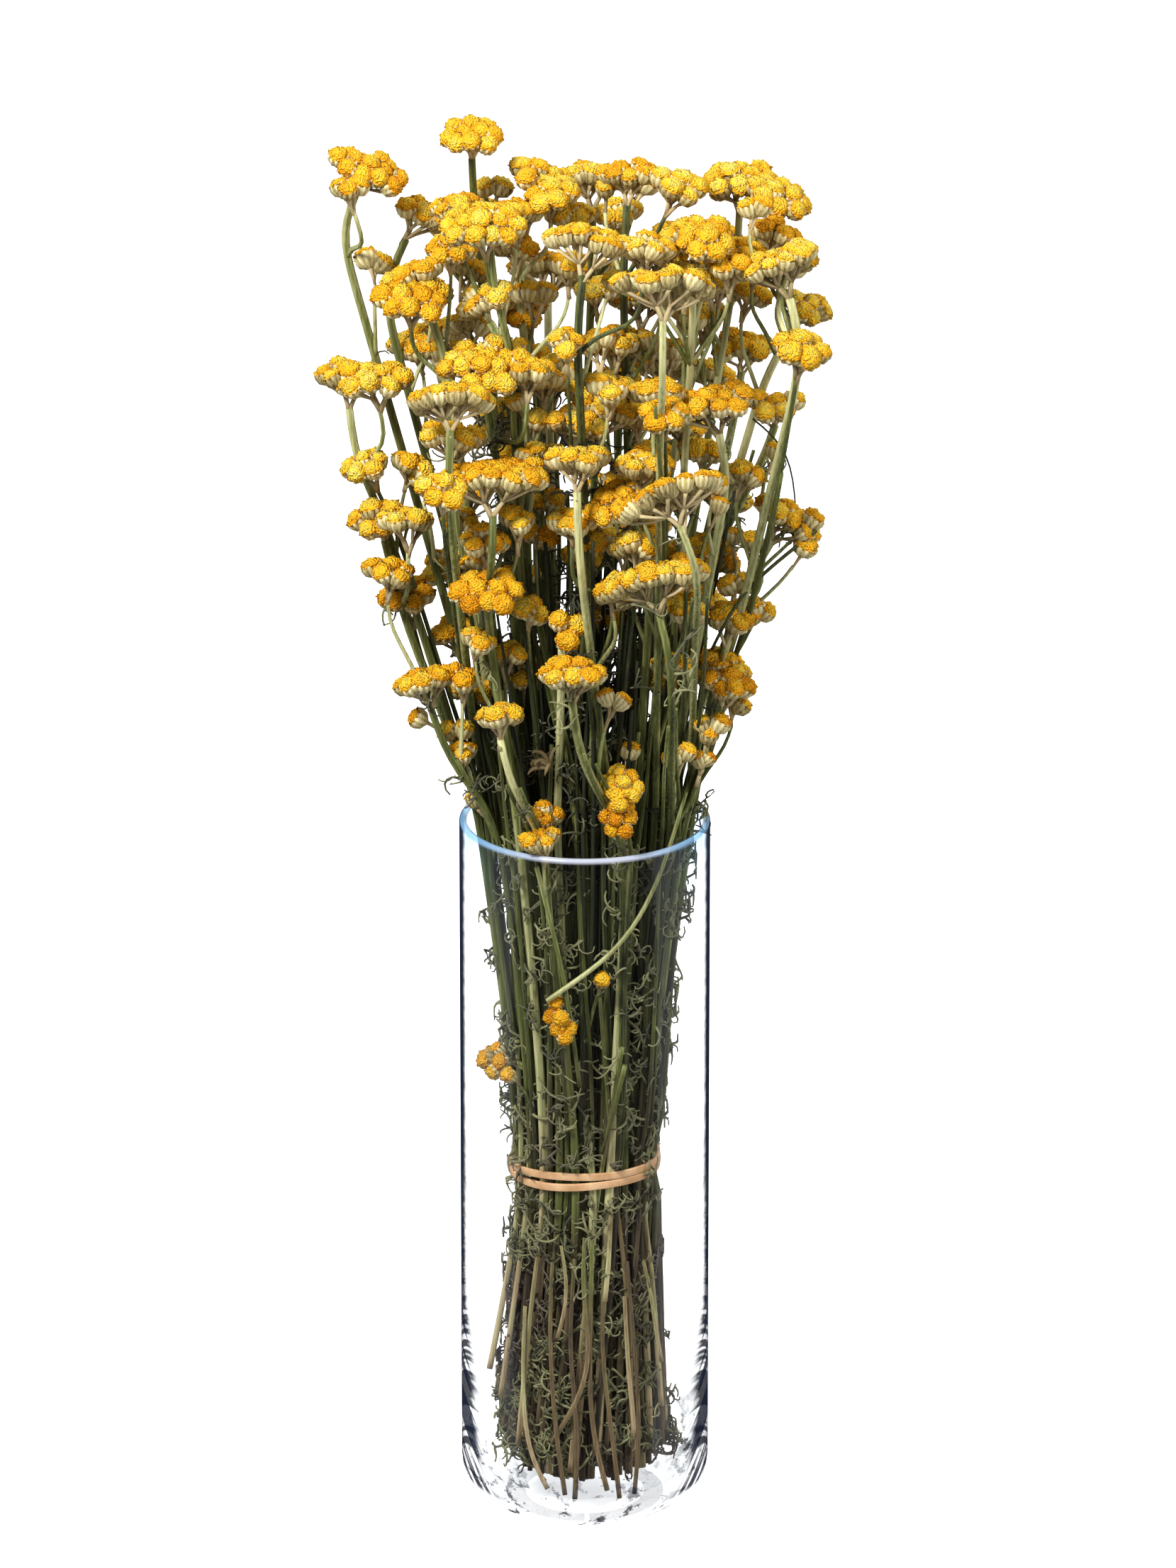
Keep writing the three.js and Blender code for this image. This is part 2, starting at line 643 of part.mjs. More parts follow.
const group = new THREE.Group();
const [vase, band] = [vaseOf(), bandOf()];
group.add(piece(vase, "vase", CLEAR_GLASS));
group.add(piece(band, "rubber_band", BAND_TAN));
const paths = [];
const green = Array.from({ length: 6 }, () => []);
const members = Array.from({ length: 6 }, () => []);
sprays.forEach((spray, i) => {
  const sector = sectorOf(slots[i]);
  const path = pathOf(spray, slots[i], stems[i]);
  paths.push({ path, sector, slot: slots[i] });
  green[sector].push(...stemOf(spray, path, stems[i]));
  for (const head of spray) green[sector].push(...cups(head));
  members[sector].push(slots[i]);
});
const gold = sprays.map((spray) => join(spray.map(florets)));
const bunches = green.map((parts, sector) => gold.reduce(clearOf, join([...parts, ...links(members[sector])])));
bunches.forEach((bunch, i) => {
  bunches[i] = bunches.slice(0, i).reduce(clearOf, bunch);
});
addLeaves(bunches, [...gold, vase, band], paths);
bunches.forEach((bunch, i) => group.add(piece(bunch, `stems_${i + 1}`, STEM_OLIVE)));
gold.forEach((heads, i) => group.add(piece(heads, `heads_${String(i + 1).padStart(2, "0")}`, BLOOM_GOLD)));

export default group;
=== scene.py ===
"""A tied bunch of dried yellow ageratum in a tall glass cylinder vase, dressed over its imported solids.

Lengths are written in millimetres, as in the solid model, and become metres where meshes are made.
"""

from __future__ import annotations

import logging
import math
import random
from dataclasses import dataclass, field
from enum import Enum
from functools import cached_property
from itertools import combinations
from typing import Any, Callable, Sequence

import bmesh
import bpy
from mathutils import Matrix, Quaternion, Vector

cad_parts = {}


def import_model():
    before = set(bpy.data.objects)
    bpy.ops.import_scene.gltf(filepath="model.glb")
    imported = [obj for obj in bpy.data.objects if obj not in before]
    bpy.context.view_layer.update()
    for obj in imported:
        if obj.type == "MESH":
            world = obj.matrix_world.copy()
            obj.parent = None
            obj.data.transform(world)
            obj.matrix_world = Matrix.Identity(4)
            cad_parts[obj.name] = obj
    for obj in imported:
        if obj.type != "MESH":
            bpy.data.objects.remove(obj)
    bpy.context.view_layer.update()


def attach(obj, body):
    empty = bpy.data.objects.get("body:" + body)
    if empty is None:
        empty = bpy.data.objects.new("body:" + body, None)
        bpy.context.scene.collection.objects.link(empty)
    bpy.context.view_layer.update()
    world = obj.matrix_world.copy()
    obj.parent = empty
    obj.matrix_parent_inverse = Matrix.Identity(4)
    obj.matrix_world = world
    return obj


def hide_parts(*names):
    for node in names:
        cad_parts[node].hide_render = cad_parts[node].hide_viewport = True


LOG = logging.getLogger("ageratum")
MM = 0.001

Point = tuple[float, float, float]
Ball = tuple[Point, float]
Row = tuple[float, float, float, float, float, float, float]
Along = Callable[[float], float]

# Honeycombs: the shifts that are tried, and the squares of how far out a middle may lie.
CELL_STARTS = ((0, 0), (0.5, 0), (0.25, 0.5))
CELL_LIMIT = 1.2
BUTTON_LIMIT = 1.12**2
# Below this height heads and stem ends are at the vase's mouth or inside it, and buttons are smaller.
LOW_HEAD = 330
CUP_RIBS = 10
# Side stems: how far below the fork of a small head its neck lies, and from there its root.
SIDE_NECK, SIDE_ROOT = 7, 22
# A plain row of draws, the same as in the solid model.
DRAW_FACTOR, DRAW_LIMIT = 16807, 2**31 - 1

# One row per flower head: x, y, z of its middle, its width, its depth, and its lean to the right and away.
# A spray with two rows carries two heads that have grown into one.
SPRAYS: tuple[tuple[Row, ...], ...] = (
    ((-44, 0, 575, 28, 20, 0, -0.5),),
    ((-82, -5, 566, 32, 22, 0.45, -0.35), (-95, -15, 555, 17, 13, -0.3, -0.1)),
    ((-62, 10, 539, 26, 16, 0.8, 0),),
    ((-70, -20, 528, 27, 16, -0.5, 0.1), (-65, -35, 515, 28, 20, 0, -0.5)),
    ((-36, -30, 557, 26, 18, 0, 0.1), (-40, -48, 547, 38, 20, -0.1, -0.4)),
    ((-16, 18, 555, 36, 18, 0.35, -0.2), (-13, -10, 551, 26, 20, 0, -0.4)),
    ((-2, -45, 547, 34, 22, 0.15, 0.4), (27, -40, 541, 24, 18, 0.1, 0.4)),
    ((17, 0, 557, 28, 18, 0.1, 0.15), (38, -10, 560, 30, 18, 0.45, 0)),
    ((59, 15, 554, 30, 20, 0, -0.15), (78, -5, 551, 28, 22, 0.5, -0.3)),
    ((42, -22, 546, 28, 16, 0, 0), (47, -48, 543, 24, 20, 0, -0.5)),
    ((72, -35, 544, 38, 20, -0.35, 0.2), (86, -24, 524, 16, 12, 0.4, -0.3)),
    ((30, -66, 535, 38, 24, 0, 0.6),), ((88, 0, 505, 24, 16, 0.6, -0.3),),
    ((63, 25, 481, 22, 13, 0.1, -0.2),), ((14, 25, 483, 18, 14, 0, 0),),
    ((-24, 15, 498, 18, 14, -0.2, -0.3),), ((-44, -10, 510, 18, 15, -0.9, 0.4),),
    ((-42, -40, 496, 30, 20, 0, -0.7), (-18, -34, 487, 24, 14, 0.1, 0.3)),
    ((-92, -5, 487, 30, 16, 0, 0.2), (-83, -22, 474, 26, 18, -0.2, -0.1)),
    ((-52, -56, 486, 28, 20, 0, 0.5),), ((-52, -36, 464, 27, 14, 0, 0.2),),
    ((4, -27, 469, 30, 20, 0, 0),), ((48, -38, 478, 32, 18, -0.3, -0.1),),
    ((77, 5, 464, 20, 14, 0.2, -0.3),), ((64, 10, 432, 18, 14, 0.5, 0),),
    ((-36, -64, 453, 40, 18, 0, 0.2), (-28, -38, 454, 24, 18, 0, -0.3)),
    ((-3, -52, 459, 26, 16, 0, 0.35),),
    ((16, -48, 446, 26, 18, -0.5, -0.4), (-7, -44, 426, 22, 14, 0, 0)),
    ((31, -68, 451, 36, 22, -0.5, 0.6),),
    ((-83, -12, 424, 20, 14, -0.2, -0.3), (-67, -30, 425, 24, 16, 0, 0.2)),
    ((-38, -54, 406, 22, 20, 0, -0.9),),
    ((21, -68, 418, 36, 20, -0.3, 0.2), (43, -50, 412, 16, 12, 0, -0.1)),
    ((81, -5, 420, 24, 16, 0.7, 0),), ((57, -25, 359, 20, 14, 0.2, -0.1),),
    ((61, -8, 380, 18, 13, 0.4, 0),), ((-63, -28, 360, 22, 16, -0.2, 0.1),),
    ((-9, -48, 388, 16, 13, 0, -0.6),), ((-5, -64, 376, 26, 18, 0, -0.1),),
    ((-33, -50, 354, 18, 13, 0, 0.1),), ((14, -46, 319, 14, 14, 0, -1.2),),
    ((-16, -35, 306, 18, 13, 0, -0.1),), ((-10, -38, 219, 13, 18, 0, -3),),
    ((-37, -14, 194, 13, 16, -3, -1.2),),
    ((-37, 38, 542, 22, 16, 0, 0.4), (-60, 34, 525, 20, 14, -0.4, 0.3)),
    ((0, 48, 548, 30, 20, 0, 0.5), (24, 40, 540, 24, 16, 0.2, 0.4)),
    ((48, 45, 528, 28, 18, 0.2, 0.4), (70, 35, 512, 20, 14, 0.4, 0.3)),
    ((-20, 60, 505, 28, 18, 0, 0.6), (8, 62, 498, 22, 16, 0, 0.6)), ((-62, 45, 480, 26, 18, -0.3, 0.5),),
    ((30, 60, 470, 28, 18, 0.1, 0.5), (55, 48, 455, 20, 14, 0.3, 0.4)),
    ((-35, 58, 440, 26, 18, -0.1, 0.5), (-8, 62, 432, 22, 16, 0, 0.6)),
    ((20, 55, 400, 26, 18, 0.1, 0.5),),
)

# Smaller heads and single buttons on side stems, in the same columns.
SHOOTS: tuple[Row, ...] = (
    (-36, 20, 548, 20, 14, 0, -0.2), (-53, 10, 539, 14, 12, 0.2, 0.5), (-27, 10, 527, 22, 16, 0, 0),
    (-82, 5, 522, 15, 12, 0, 0.5), (66, -30, 555, 16, 12, 0.2, 0), (27, -20, 534, 22, 16, 0, 0.6),
    (82, -30, 536, 9, 9, 0.5, 0.1), (10, -30, 525, 8, 8, 0.2, -0.2), (8, 2, 551, 8, 8, 0, 0),
    (-52, 5, 484, 18, 14, 0, 0), (-20, 15, 481, 13, 12, 0, 0), (-27, -30, 476, 8, 8, -0.4, -0.2),
    (-18, -30, 468, 8, 8, 0.2, -0.3), (-67, -10, 444, 14, 12, 0.3, 0), (-66, -10, 436, 8, 8, -0.3, 0),
    (12, 25, 469, 16, 12, 0, 0), (9, 20, 459, 9, 9, 0, 0.4), (32, 15, 483, 22, 16, 0, 0.5),
    (38, 5, 456, 18, 14, 0, 0), (46, -5, 449, 17, 13, 0, 0), (24, 10, 443, 14, 12, 0, 0),
    (-19, -35, 455, 8, 8, 0.3, 0), (51, -42, 445, 9, 9, 0.2, 0.1), (52, -44, 437, 8, 8, 0.4, 0.2),
    (74, 5, 444, 9, 9, 0.3, 0.4), (71, -5, 425, 8, 8, -0.2, 0.1), (67, -8, 410, 8, 8, -0.3, 0),
    (89, -8, 420, 8, 8, 0.8, 0), (86, -10, 408, 8, 8, 0.5, -0.2), (-49, -20, 424, 14, 12, 0, 0),
    (-19, -25, 420, 12, 10, 0, -0.3), (60, 5, 407, 8, 8, 0, 0), (15, -28, 416, 14, 12, 0, 0),
    (9, -60, 404, 8, 8, -0.3, 0), (41, -40, 393, 14, 11, 0.2, 0), (60, -5, 392, 13, 11, 0.2, 0.3),
    (-76, -26, 405, 19, 14, 0.1, 0), (-43, -35, 412, 15, 12, 0, 0), (-43, -40, 381, 15, 12, 0, -0.2),
    (-31, -28, 371, 17, 13, 0, 0), (-48, -28, 361, 17, 13, 0, 0), (34, -25, 367, 16, 12, 0, 0),
    (60, -20, 348, 13, 11, 0.2, 0.2), (-51, -20, 338, 12, 10, -0.2, 0), (-50, -22, 328, 14, 12, -0.3, 0),
    (11, -45, 357, 12, 10, 0.3, 0.5), (50, -25, 343, 11, 10, 0.1, 0), (49, -26, 335, 8, 8, 0.2, -0.2),
    (18, -32, 330, 8, 8, 0.2, 0), (7, -36, 235, 8, 8, 0.2, -1), (-44, -8, 302, 8, 8, -0.6, 0),
    (-66, -20, 341, 6, 6, -1.5, 0), (-31, -27, 192, 8, 8, -0.8, -0.8), (58, -18, 533, 24, 16, 0, -0.1),
    (38, 10, 532, 28, 18, 0, 0), (5, 15, 508, 22, 16, 0, 0), (50, 14, 512, 26, 16, 0, 0.3),
    (22, 22, 503, 24, 16, 0, 0.2), (64, 10, 508, 20, 14, 0.2, 0), (6, -14, 474, 26, 16, 0, -0.2),
    (21, -18, 468, 20, 14, 0, 0), (26, -26, 450, 20, 16, 0.2, -0.3), (2, -30, 421, 20, 14, 0, -0.3),
    (-22, -36, 394, 16, 12, 0, -0.3), (-52, -14, 534, 22, 16, 0, -0.2), (-46, 6, 520, 20, 14, 0.2, 0.2),
    (-60, 12, 508, 20, 14, 0, 0), (-45, 6, 498, 18, 14, 0, 0.2), (-66, 15, 484, 16, 12, -0.2, 0),
    (-20, 0, 512, 20, 14, 0, 0.5), (-33, 12, 505, 16, 14, 0, 0.4), (-31, 0, 487, 20, 14, 0, 0.5),
    (-10, 4, 480, 18, 14, 0.2, 0.5), (6, -8, 494, 20, 14, 0, 0.5), (23, 2, 489, 20, 14, -0.1, 0.5),
    (40, 2, 500, 18, 14, 0.1, 0.4), (-4, 10, 540, 22, 16, 0, -0.1), (14, 22, 536, 22, 14, 0, 0),
    (13, -48, 309, 16, 15, 0.1, -1.6), (16, -45, 322, 16, 14, 0.1, -1.2), (-16, -41, 299, 19, 13, 0, 0),
    (38, -28, 330, 12, 10, 0.1, 0), (48, -24, 326, 11, 10, 0.3, 0), (69, -6, 382, 13, 11, 0.4, 0),
    (57, -14, 380, 15, 12, 0.1, 0), (11, -34, 399, 16, 12, 0, -0.2), (34, 8, 521, 22, 16, 0.1, 0.2),
    (52, -8, 521, 24, 16, 0, 0.1), (68, -4, 528, 22, 16, 0.2, 0.2), (46, 20, 497, 20, 15, 0, 0.2),
    (30, -8, 516, 20, 15, 0, 0.1), (25, -24, 535, 22, 16, 0, 0.1), (40, -34, 529, 24, 16, 0.1, 0.2),
    (56, -36, 533, 22, 16, 0, 0), (76, -14, 541, 22, 16, 0.3, 0), (82, -12, 531, 18, 14, 0.5, 0),
    (80, -8, 523, 14, 12, 0.4, 0.4), (46, -20, 524, 20, 15, 0.1, 0.3), (12, -6, 493, 18, 14, 0, 0.2),
    (-16, -22, 482, 18, 14, 0, 0.5), (-28, -6, 546, 24, 16, -0.1, 0), (-50, -10, 549, 22, 16, -0.1, 0.1),
    (-6, -24, 530, 22, 16, 0, 0.1), (23, -46, 456, 20, 15, 0.1, 0.2), (-53, -38, 443, 22, 15, -0.1, 0.1),
    (-39, -44, 425, 20, 14, 0, 0.1), (-26, -44, 432, 19, 14, 0, 0.1), (20, -44, 422, 19, 14, 0, 0),
    (62, -22, 444, 16, 13, 0.2, 0), (9, -46, 486, 20, 15, 0, 0.2), (28, -40, 484, 20, 15, 0.1, 0.2),
    (-20, -6, 446, 22, 15, 0, 0.1), (12, -10, 436, 20, 15, 0, 0.1),
)

# Loose and broken stems: how light, how thick, and the points that each one passes.
LOOSE: tuple[tuple[float, float, tuple[Point, ...]], ...] = (
    (0.85, 1.5, ((-38.5, -8, 57), (-30, -8, 105), (-25.5, -7, 143), (-27, -9, 200))),
    (0.75, 1.4, ((-34, -17, 49), (-27, -14, 100), (-22.5, -13, 143), (-22, -20, 232))),
    (0.6, 1.3, ((-27, -25, 31), (-21, -21, 95), (-15, -18.5, 143), (-14, -27, 214))),
    (0.7, 1.3, ((-31, 16, 40), (-26, 12, 100), (-23, 9, 143), (-28, 12, 220))),
    (0.65, 1.4, ((31, -16, 44), (27, -13, 100), (23, -11, 143), (25, -19, 240))),
    (0.5, 1.2, ((20, -28, 26), (17, -24, 95), (12, -20.5, 143), (6, -29, 226))),
    (0.8, 1.3, ((27, 21, 36), (22, 17, 100), (19, 14, 143), (24, 19, 230))),
    (0.55, 1.3, ((-6, -33, 22), (0, -26, 90), (6, -21.5, 143), (15, -30, 205))),
    (0.7, 1.2, ((2, 33, 30), (4, 26, 95), (5, 21.5, 143), (0, 29, 225))),
    (
        0.85,
        1.1,
        ((-15, -38, 228), (-2, -39, 238), (10, -38, 247), (22, -35, 262), (31, -31, 282), (40, -27, 312)),
    ),
    (0.7, 1.0, ((-11, -31, 80), (-7.5, -31, 90), (-6.5, -29, 101), (-9.5, -26, 118))),
    (0.5, 1.3, ((-13, -34, 36), (-1, -35, 58), (2, -32, 76), (-1, -29, 100), (0, -25, 121))),
    (0.4, 1.3, ((9, -37, 16), (4, -36, 37), (2, -33, 61), (3, -27, 121))),
    (0.75, 1.3, ((8, -31, 96), (9.5, -29, 107), (10.5, -24, 132))),
    (0.35, 1.2, ((14, -38, 13), (11, -36, 40), (7, -31, 75), (8, -25, 112))),
    (0.3, 1.3, ((-4, -39, 13), (-3, -36, 40), (-6, -31, 78), (-4, -25, 112))),
    (0.45, 1.2, ((-8, -37, 14), (-12, -35, 45), (-14, -30, 80), (-13, -24, 110))),
    (0.3, 1.1, ((20, -36, 14), (22, -33, 40), (20, -29, 75), (17, -23, 110))),
    (0.6, 1.1, ((31, -22, 66), (28.5, -22, 79), (27.5, -19, 92), (23.5, -17, 108))),
    (0.75, 1.3, ((20.5, -32, 37), (17.5, -30, 67), (16, -26, 96))),
    (0.7, 1.2, ((-15, -36, 16), (-22, -31, 28), (-25, -26, 55), (-24, -22, 90))),
    (0.45, 1.2, ((-19, -36, 284), (-12, -38, 255), (-7, -37, 230), (-2, -34, 190))),
    (0.35, 1.2, ((16, -34, 199), (12, -31, 180), (7, -26, 158))),
    (0.1, 0.85, ((91, -12, 416), (76, -14, 404), (61, -18, 391), (50, -22, 370))),
    (0.1, 0.45, ((66, 4, 457), (76, 2, 451), (82, 0, 439), (83, -2, 422))),
)


class Glue(Enum):
    """What a strand of the dry plant is, which gives its place among the finishes."""

    STEM = 0
    RAY = 1
    CUP = 2
    LEAF = 3


@dataclass
class FlowerHead:
    """One flat head of button flowers, in its own plane."""

    middle: list[float]
    axis: Point
    width: float
    depth: float
    cell: float = 9.4

    @classmethod
    def from_row(cls, row: Row) -> FlowerHead:
        """Reads one row of the list of sprays.

        Args:
            row: Its middle, width, depth and lean.

        Returns:
            The head.
        """
        x, y, z, width, depth, right, away = row
        length = math.sqrt(right * right + away * away + 1)
        return cls([x, y, z], (right / length, away / length, 1 / length), width, depth)

    @property
    def fork(self) -> float:
        """How far below its middle the rays fork."""
        return 9 + self.width * 0.28

    def fork_point(self, share: float = 0.8) -> Vector:
        """A point on the head's axis, that share of the way down to its fork."""
        return Vector(self.placed(0, 0, -self.fork * share))

    def placed(self, u: float, v: float, w: float) -> Point:
        """A point of the head's own plane as a point of the object.

        Args:
            u: Across the head, to the right.
            v: Across the head, away.
            w: Along the head's axis.

        Returns:
            The point in millimetres.
        """
        nx, ny, nz = self.axis
        k = 1 / (1 + nz)
        return (
            self.middle[0] + (1 - nx * nx * k) * u - nx * ny * k * v + nx * w,
            self.middle[1] - nx * ny * k * u + (1 - ny * ny * k) * v + ny * w,
            self.middle[2] - nx * u - ny * v + nz * w,
        )

    @cached_property
    def cells(self) -> list[tuple[float, float]]:
        """The middles of the honeycomb cells that lie within the head's ellipse."""
        inset = self.cell * 0.42
        a, b = self.width / 2 - inset, max(self.depth / 2 - inset, 1)
        return [(u, v) for u, v, _ in honeycomb(self.cell, a, b, CELL_STARTS, CELL_LIMIT)]

    def neck(self, below: float) -> Point:
        """The point on the head's axis that far below its fork."""
        return self.placed(0, 0, -self.fork - below)

    @property
    def aim(self) -> Vector:
        """The point near which the side stem of a small head leaves its host."""
        return Vector(self.neck(SIDE_NECK)) - Vector((0, 0, SIDE_ROOT))


@dataclass
class Slot:
    """The place of one stem at the tie."""

    ring: int
    angle: float
    x: float
    y: float

    def turned_from(self, angle: float) -> float:
        """How far round the tie the slot lies from a direction."""
        return abs(math.atan2(math.sin(self.angle - angle), math.cos(self.angle - angle)))


def honeycomb(
    pitch: float, a: float, b: float, starts: Sequence[Sequence[float]], limit: float
) -> list[Point]:
    """The fullest honeycomb that fits an ellipse.

    Args:
        pitch: How far apart its cells lie.
        a: Half the ellipse's width.
        b: Half its depth.
        starts: By which shares of a cell and of a row it may be shifted.
        limit: The square of how far out a cell may lie, where 1 is the ellipse itself.

    Returns:
        For each cell: how far across, how far away, and its share of the way out.
    """
    row = pitch * math.sin(math.pi / 3)
    best: list[Point] = []
    for start_u, start_v in starts:
        found = []
        for j in range(-4, 5):
            for i in range(-5, 6):
                u, v = start_u * pitch + (i + (j & 1) / 2) * pitch, start_v * row + j * row
                square = (u / a) ** 2 + (v / b) ** 2
                if square < limit:
                    found.append((u, v, min(math.sqrt(square), 1.0)))
        best = max(best, found, key=len)
    return best


def smooth_path(points: Sequence[Vector], gap: float) -> list[Vector]:
    """A smooth curve through points.

    Args:
        points: The points.
        gap: About how far apart the curve's own points lie.

    Returns:
        The curve's points.
    """
    ends = [2 * points[0] - points[1], *points, 2 * points[-1] - points[-2]]
    found = [points[0].copy()]
    for p0, p1, p2, p3 in zip(ends, ends[1:], ends[2:], ends[3:]):
        bend, twist = 2 * p0 - 5 * p1 + 4 * p2 - p3, 3 * p1 - p0 - 3 * p2 + p3
        steps = max(1, round((p2 - p1).length / gap))
        for step in range(1, steps + 1):
            t = step / steps
            found.append(0.5 * (2 * p1 + (p2 - p0) * t + bend * t * t + twist * t * t * t))
    return found


def eased(path: Sequence[Vector], rounds: int) -> list[Vector]:
    """A path with its bends rounded off and its ends left where they are.

    Args:
        path: The path's points.
        rounds: How many times they are rounded off.

    Returns:
        The new path's points.
    """
    points = list(path)
    for _ in range(rounds):
        inner = [b / 2 + (a + c) / 4 for a, b, c in zip(points, points[1:], points[2:])]
        points = [points[0], *inner, points[-1]]
    return points


def frames_along(path: Sequence[Vector]) -> list[tuple[Vector, Vector]]:
    """Two directions across a path at each of its points, carried along it without a twist.

    Args:
        path: The path's points.

    Returns:
        For each point: two directions at right angles to the path.
    """
    found = []
    across = (path[1] - path[0]).normalized().orthogonal().normalized()
    for before, after in zip([path[0], *path], [*path[1:], path[-1]]):
        along = (after - before).normalized()
        across = (across - along * across.dot(along)).normalized()
        found.append((across.copy(), along.cross(across)))
    return found


def linked(name: str, data: Any) -> bpy.types.Object:
    """Makes an object of a mesh, lamp or camera and puts it into the scene.

    Args:
        name: The object's name.
        data: What it shows.

    Returns:
        The object.
    """
    made = bpy.data.objects.new(name, data)
    bpy.context.scene.collection.objects.link(made)
    return made


def kept_mesh(bm: bmesh.types.BMesh, name: str, *materials: bpy.types.Material) -> bpy.types.Mesh:
    """Ends a mesh that is being edited and keeps it under a name.

    Args:
        bm: The mesh that is being edited.
        name: The name it gets.
        materials: Its materials, in order.

    Returns:
        The mesh.
    """
    mesh = bpy.data.meshes.new(name)
    bm.to_mesh(mesh)
    bm.free()
    for material in materials:
        mesh.materials.append(material)
    return mesh


def smooth_object(bm: bmesh.types.BMesh, name: str, finish: bpy.types.Material) -> bpy.types.Object:
    """Ends a closed mesh with its faces turned outwards and smoothed, and makes it an object.

    Args:
        bm: The mesh that is being edited.
        name: The object's name.
        finish: Its material.

    Returns:
        The object.
    """
    bmesh.ops.recalc_face_normals(bm, faces=bm.faces)
    for face in bm.faces:
        face.smooth = True
    return linked(name, kept_mesh(bm, name, finish))


def spin_round(bm: bmesh.types.BMesh, parts: list[Any], steps: int) -> None:
    """Spins corners and edges once round the upright axis."""
    turn = {"cent": (0, 0, 0), "axis": (0, 0, 1), "angle": 2 * math.pi, "use_merge": True}
    bmesh.ops.spin(bm, geom=parts, steps=steps, **turn)


def seat(made: bpy.types.Object, node: str) -> None:
    """Puts a piece in the place of its solid.

    Args:
        made: The piece.
        node: The solid's node.
    """
    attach(made, "root")
    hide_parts(node)
    LOG.info("%s stands for %s with %d faces", made.name, node, len(made.data.polygons))


@dataclass
class Layout:
    """Where every head, stem and slot of the bunch lies, worked out as in the solid model."""

    ring_step: float = 5.6
    rings: int = 4
    stretch: float = 1.18
    tie: float = 145
    foot_spread: float = 1.3
    foot_turn: float = -0.32
    foot_clear: float = 0.4
    rim: float = 296
    rim_x: float = 1.62
    rim_y: float = 1.6
    level: float = 12
    vase_floor: float = 11
    button: float = 5
    meet_at: float = 6.4
    cup: float = 6.2
    neck: float = 14
    stem: float = 1.7
    fork_drop: float = 8
    far_apart: float = 70
    stem_gap: float = 2.2
    low_range: float = 120
    settle_rounds: int = 40
    comb_rounds: int = 200
    sprays: list[list[FlowerHead]] = field(default_factory=list)
    slots: list[Slot] = field(default_factory=list)
    stems: list[list[list[float]]] = field(default_factory=list)

    def solve(self) -> None:
        """Settles the heads, gives every spray its slot and combs the stems."""
        self.sprays = [[FlowerHead.from_row(row) for row in rows] for rows in SPRAYS]
        self.settle()
        self.slots = self.slot_sprays()
        self.stems = self.comb()

    def balls(self, head: FlowerHead) -> list[Ball]:
        """The room that a head takes, as balls at its buttons and along its rays.

        Args:
            head: The head.

        Returns:
            Each ball's middle and radius.
        """
        found = []
        for u, v in head.cells:
            found.append((head.placed(u, v, -1.5), self.button + 0.8))
            for t in (0.35, 0.7):
                w = -self.cup - (head.fork - self.cup) * t
                found.append((head.placed(u * (1 - t), v * (1 - t), w), 2.0))
        return found

    def meet(self, first: FlowerHead, second: FlowerHead) -> list[float]:
        """The way that the second of two grown-together heads must move for their nearest buttons to overlap.

        Args:
            first: The head that stays.
            second: The head that moves.

        Returns:
            The way in millimetres.
        """
        ways = []
        for u, v in first.cells:
            p = first.placed(u, v, 0)
            ways += [[b - a for a, b in zip(p, second.placed(s, t, 0))] for s, t in second.cells]
        near = min(ways, key=lambda way: math.sqrt(way[0] ** 2 + way[1] ** 2 + way[2] ** 2))
        rise = sum(a * b for a, b in zip(near, first.axis))
        beside = [a - rise * b for a, b in zip(near, first.axis)]
        size = math.sqrt(sum(a * a for a in beside)) or 1
        kept = max(-1.2, min(1.2, rise))
        return [a / size * self.meet_at + kept * b - c for a, b, c in zip(beside, first.axis, near)]

    def settle(self) -> None:
        """Eases heads of different sprays apart, mostly towards or away from the viewer."""
        heads = [(head, i) for i, spray in enumerate(self.sprays) for head in spray]
        for _ in range(self.settle_rounds):
            balls = [self.balls(head) for head, _ in heads]
            shifts = [[0.0, 0.0, 0.0] for _ in heads]
            for (i, (one, spray)), (j, (other, others_spray)) in combinations(enumerate(heads), 2):
                if spray == others_spray:
                    way = [-0.5 * pull for pull in self.meet(one, other)]
                elif math.dist(one.middle, other.middle) > self.far_apart:
                    continue
                else:
                    way = self.clash(balls[i], balls[j], 1 if one.middle[1] >= other.middle[1] else -1)
                for k in range(3):
                    shifts[i][k] += way[k]
                    shifts[j][k] -= way[k]
            for (head, _), shift in zip(heads, shifts):
                head.middle = [at + 0.6 * move for at, move in zip(head.middle, shift)]
        for first, *others in self.sprays:
            for other in others:
                other.middle = [at + move for at, move in zip(other.middle, self.meet(first, other))]

    @staticmethod
    def clash(ours: list[Ball], theirs: list[Ball], side: int) -> list[float]:
        """The shift that helps one set of balls out of another.

        Args:
            ours: The balls that are to be shifted.
            theirs: The other balls.
            side: 1 when ours are further away than theirs, -1 when they are nearer.

        Returns:
            Half the depth of the deepest overlap, mostly away or towards the viewer.
        """
        deepest = 0.0
        push = [0.0, 0.0, 0.0]
        for p, r in ours:
            for q, s in theirs:
                gap = (p[0] - q[0], p[1] - q[1], p[2] - q[2])
                far = math.sqrt(gap[0] * gap[0] + gap[1] * gap[1] + gap[2] * gap[2])
                if r + s - far > deepest:
                    deepest = r + s - far
                    push = [a / (far or 1) for a in gap]
        way = (push[0] * 0.4, push[1] + 0.5 * side, push[2] * 0.4)
        size = math.sqrt(sum(a * a for a in way)) or 1
        return [a / size * deepest * 0.5 for a in way]

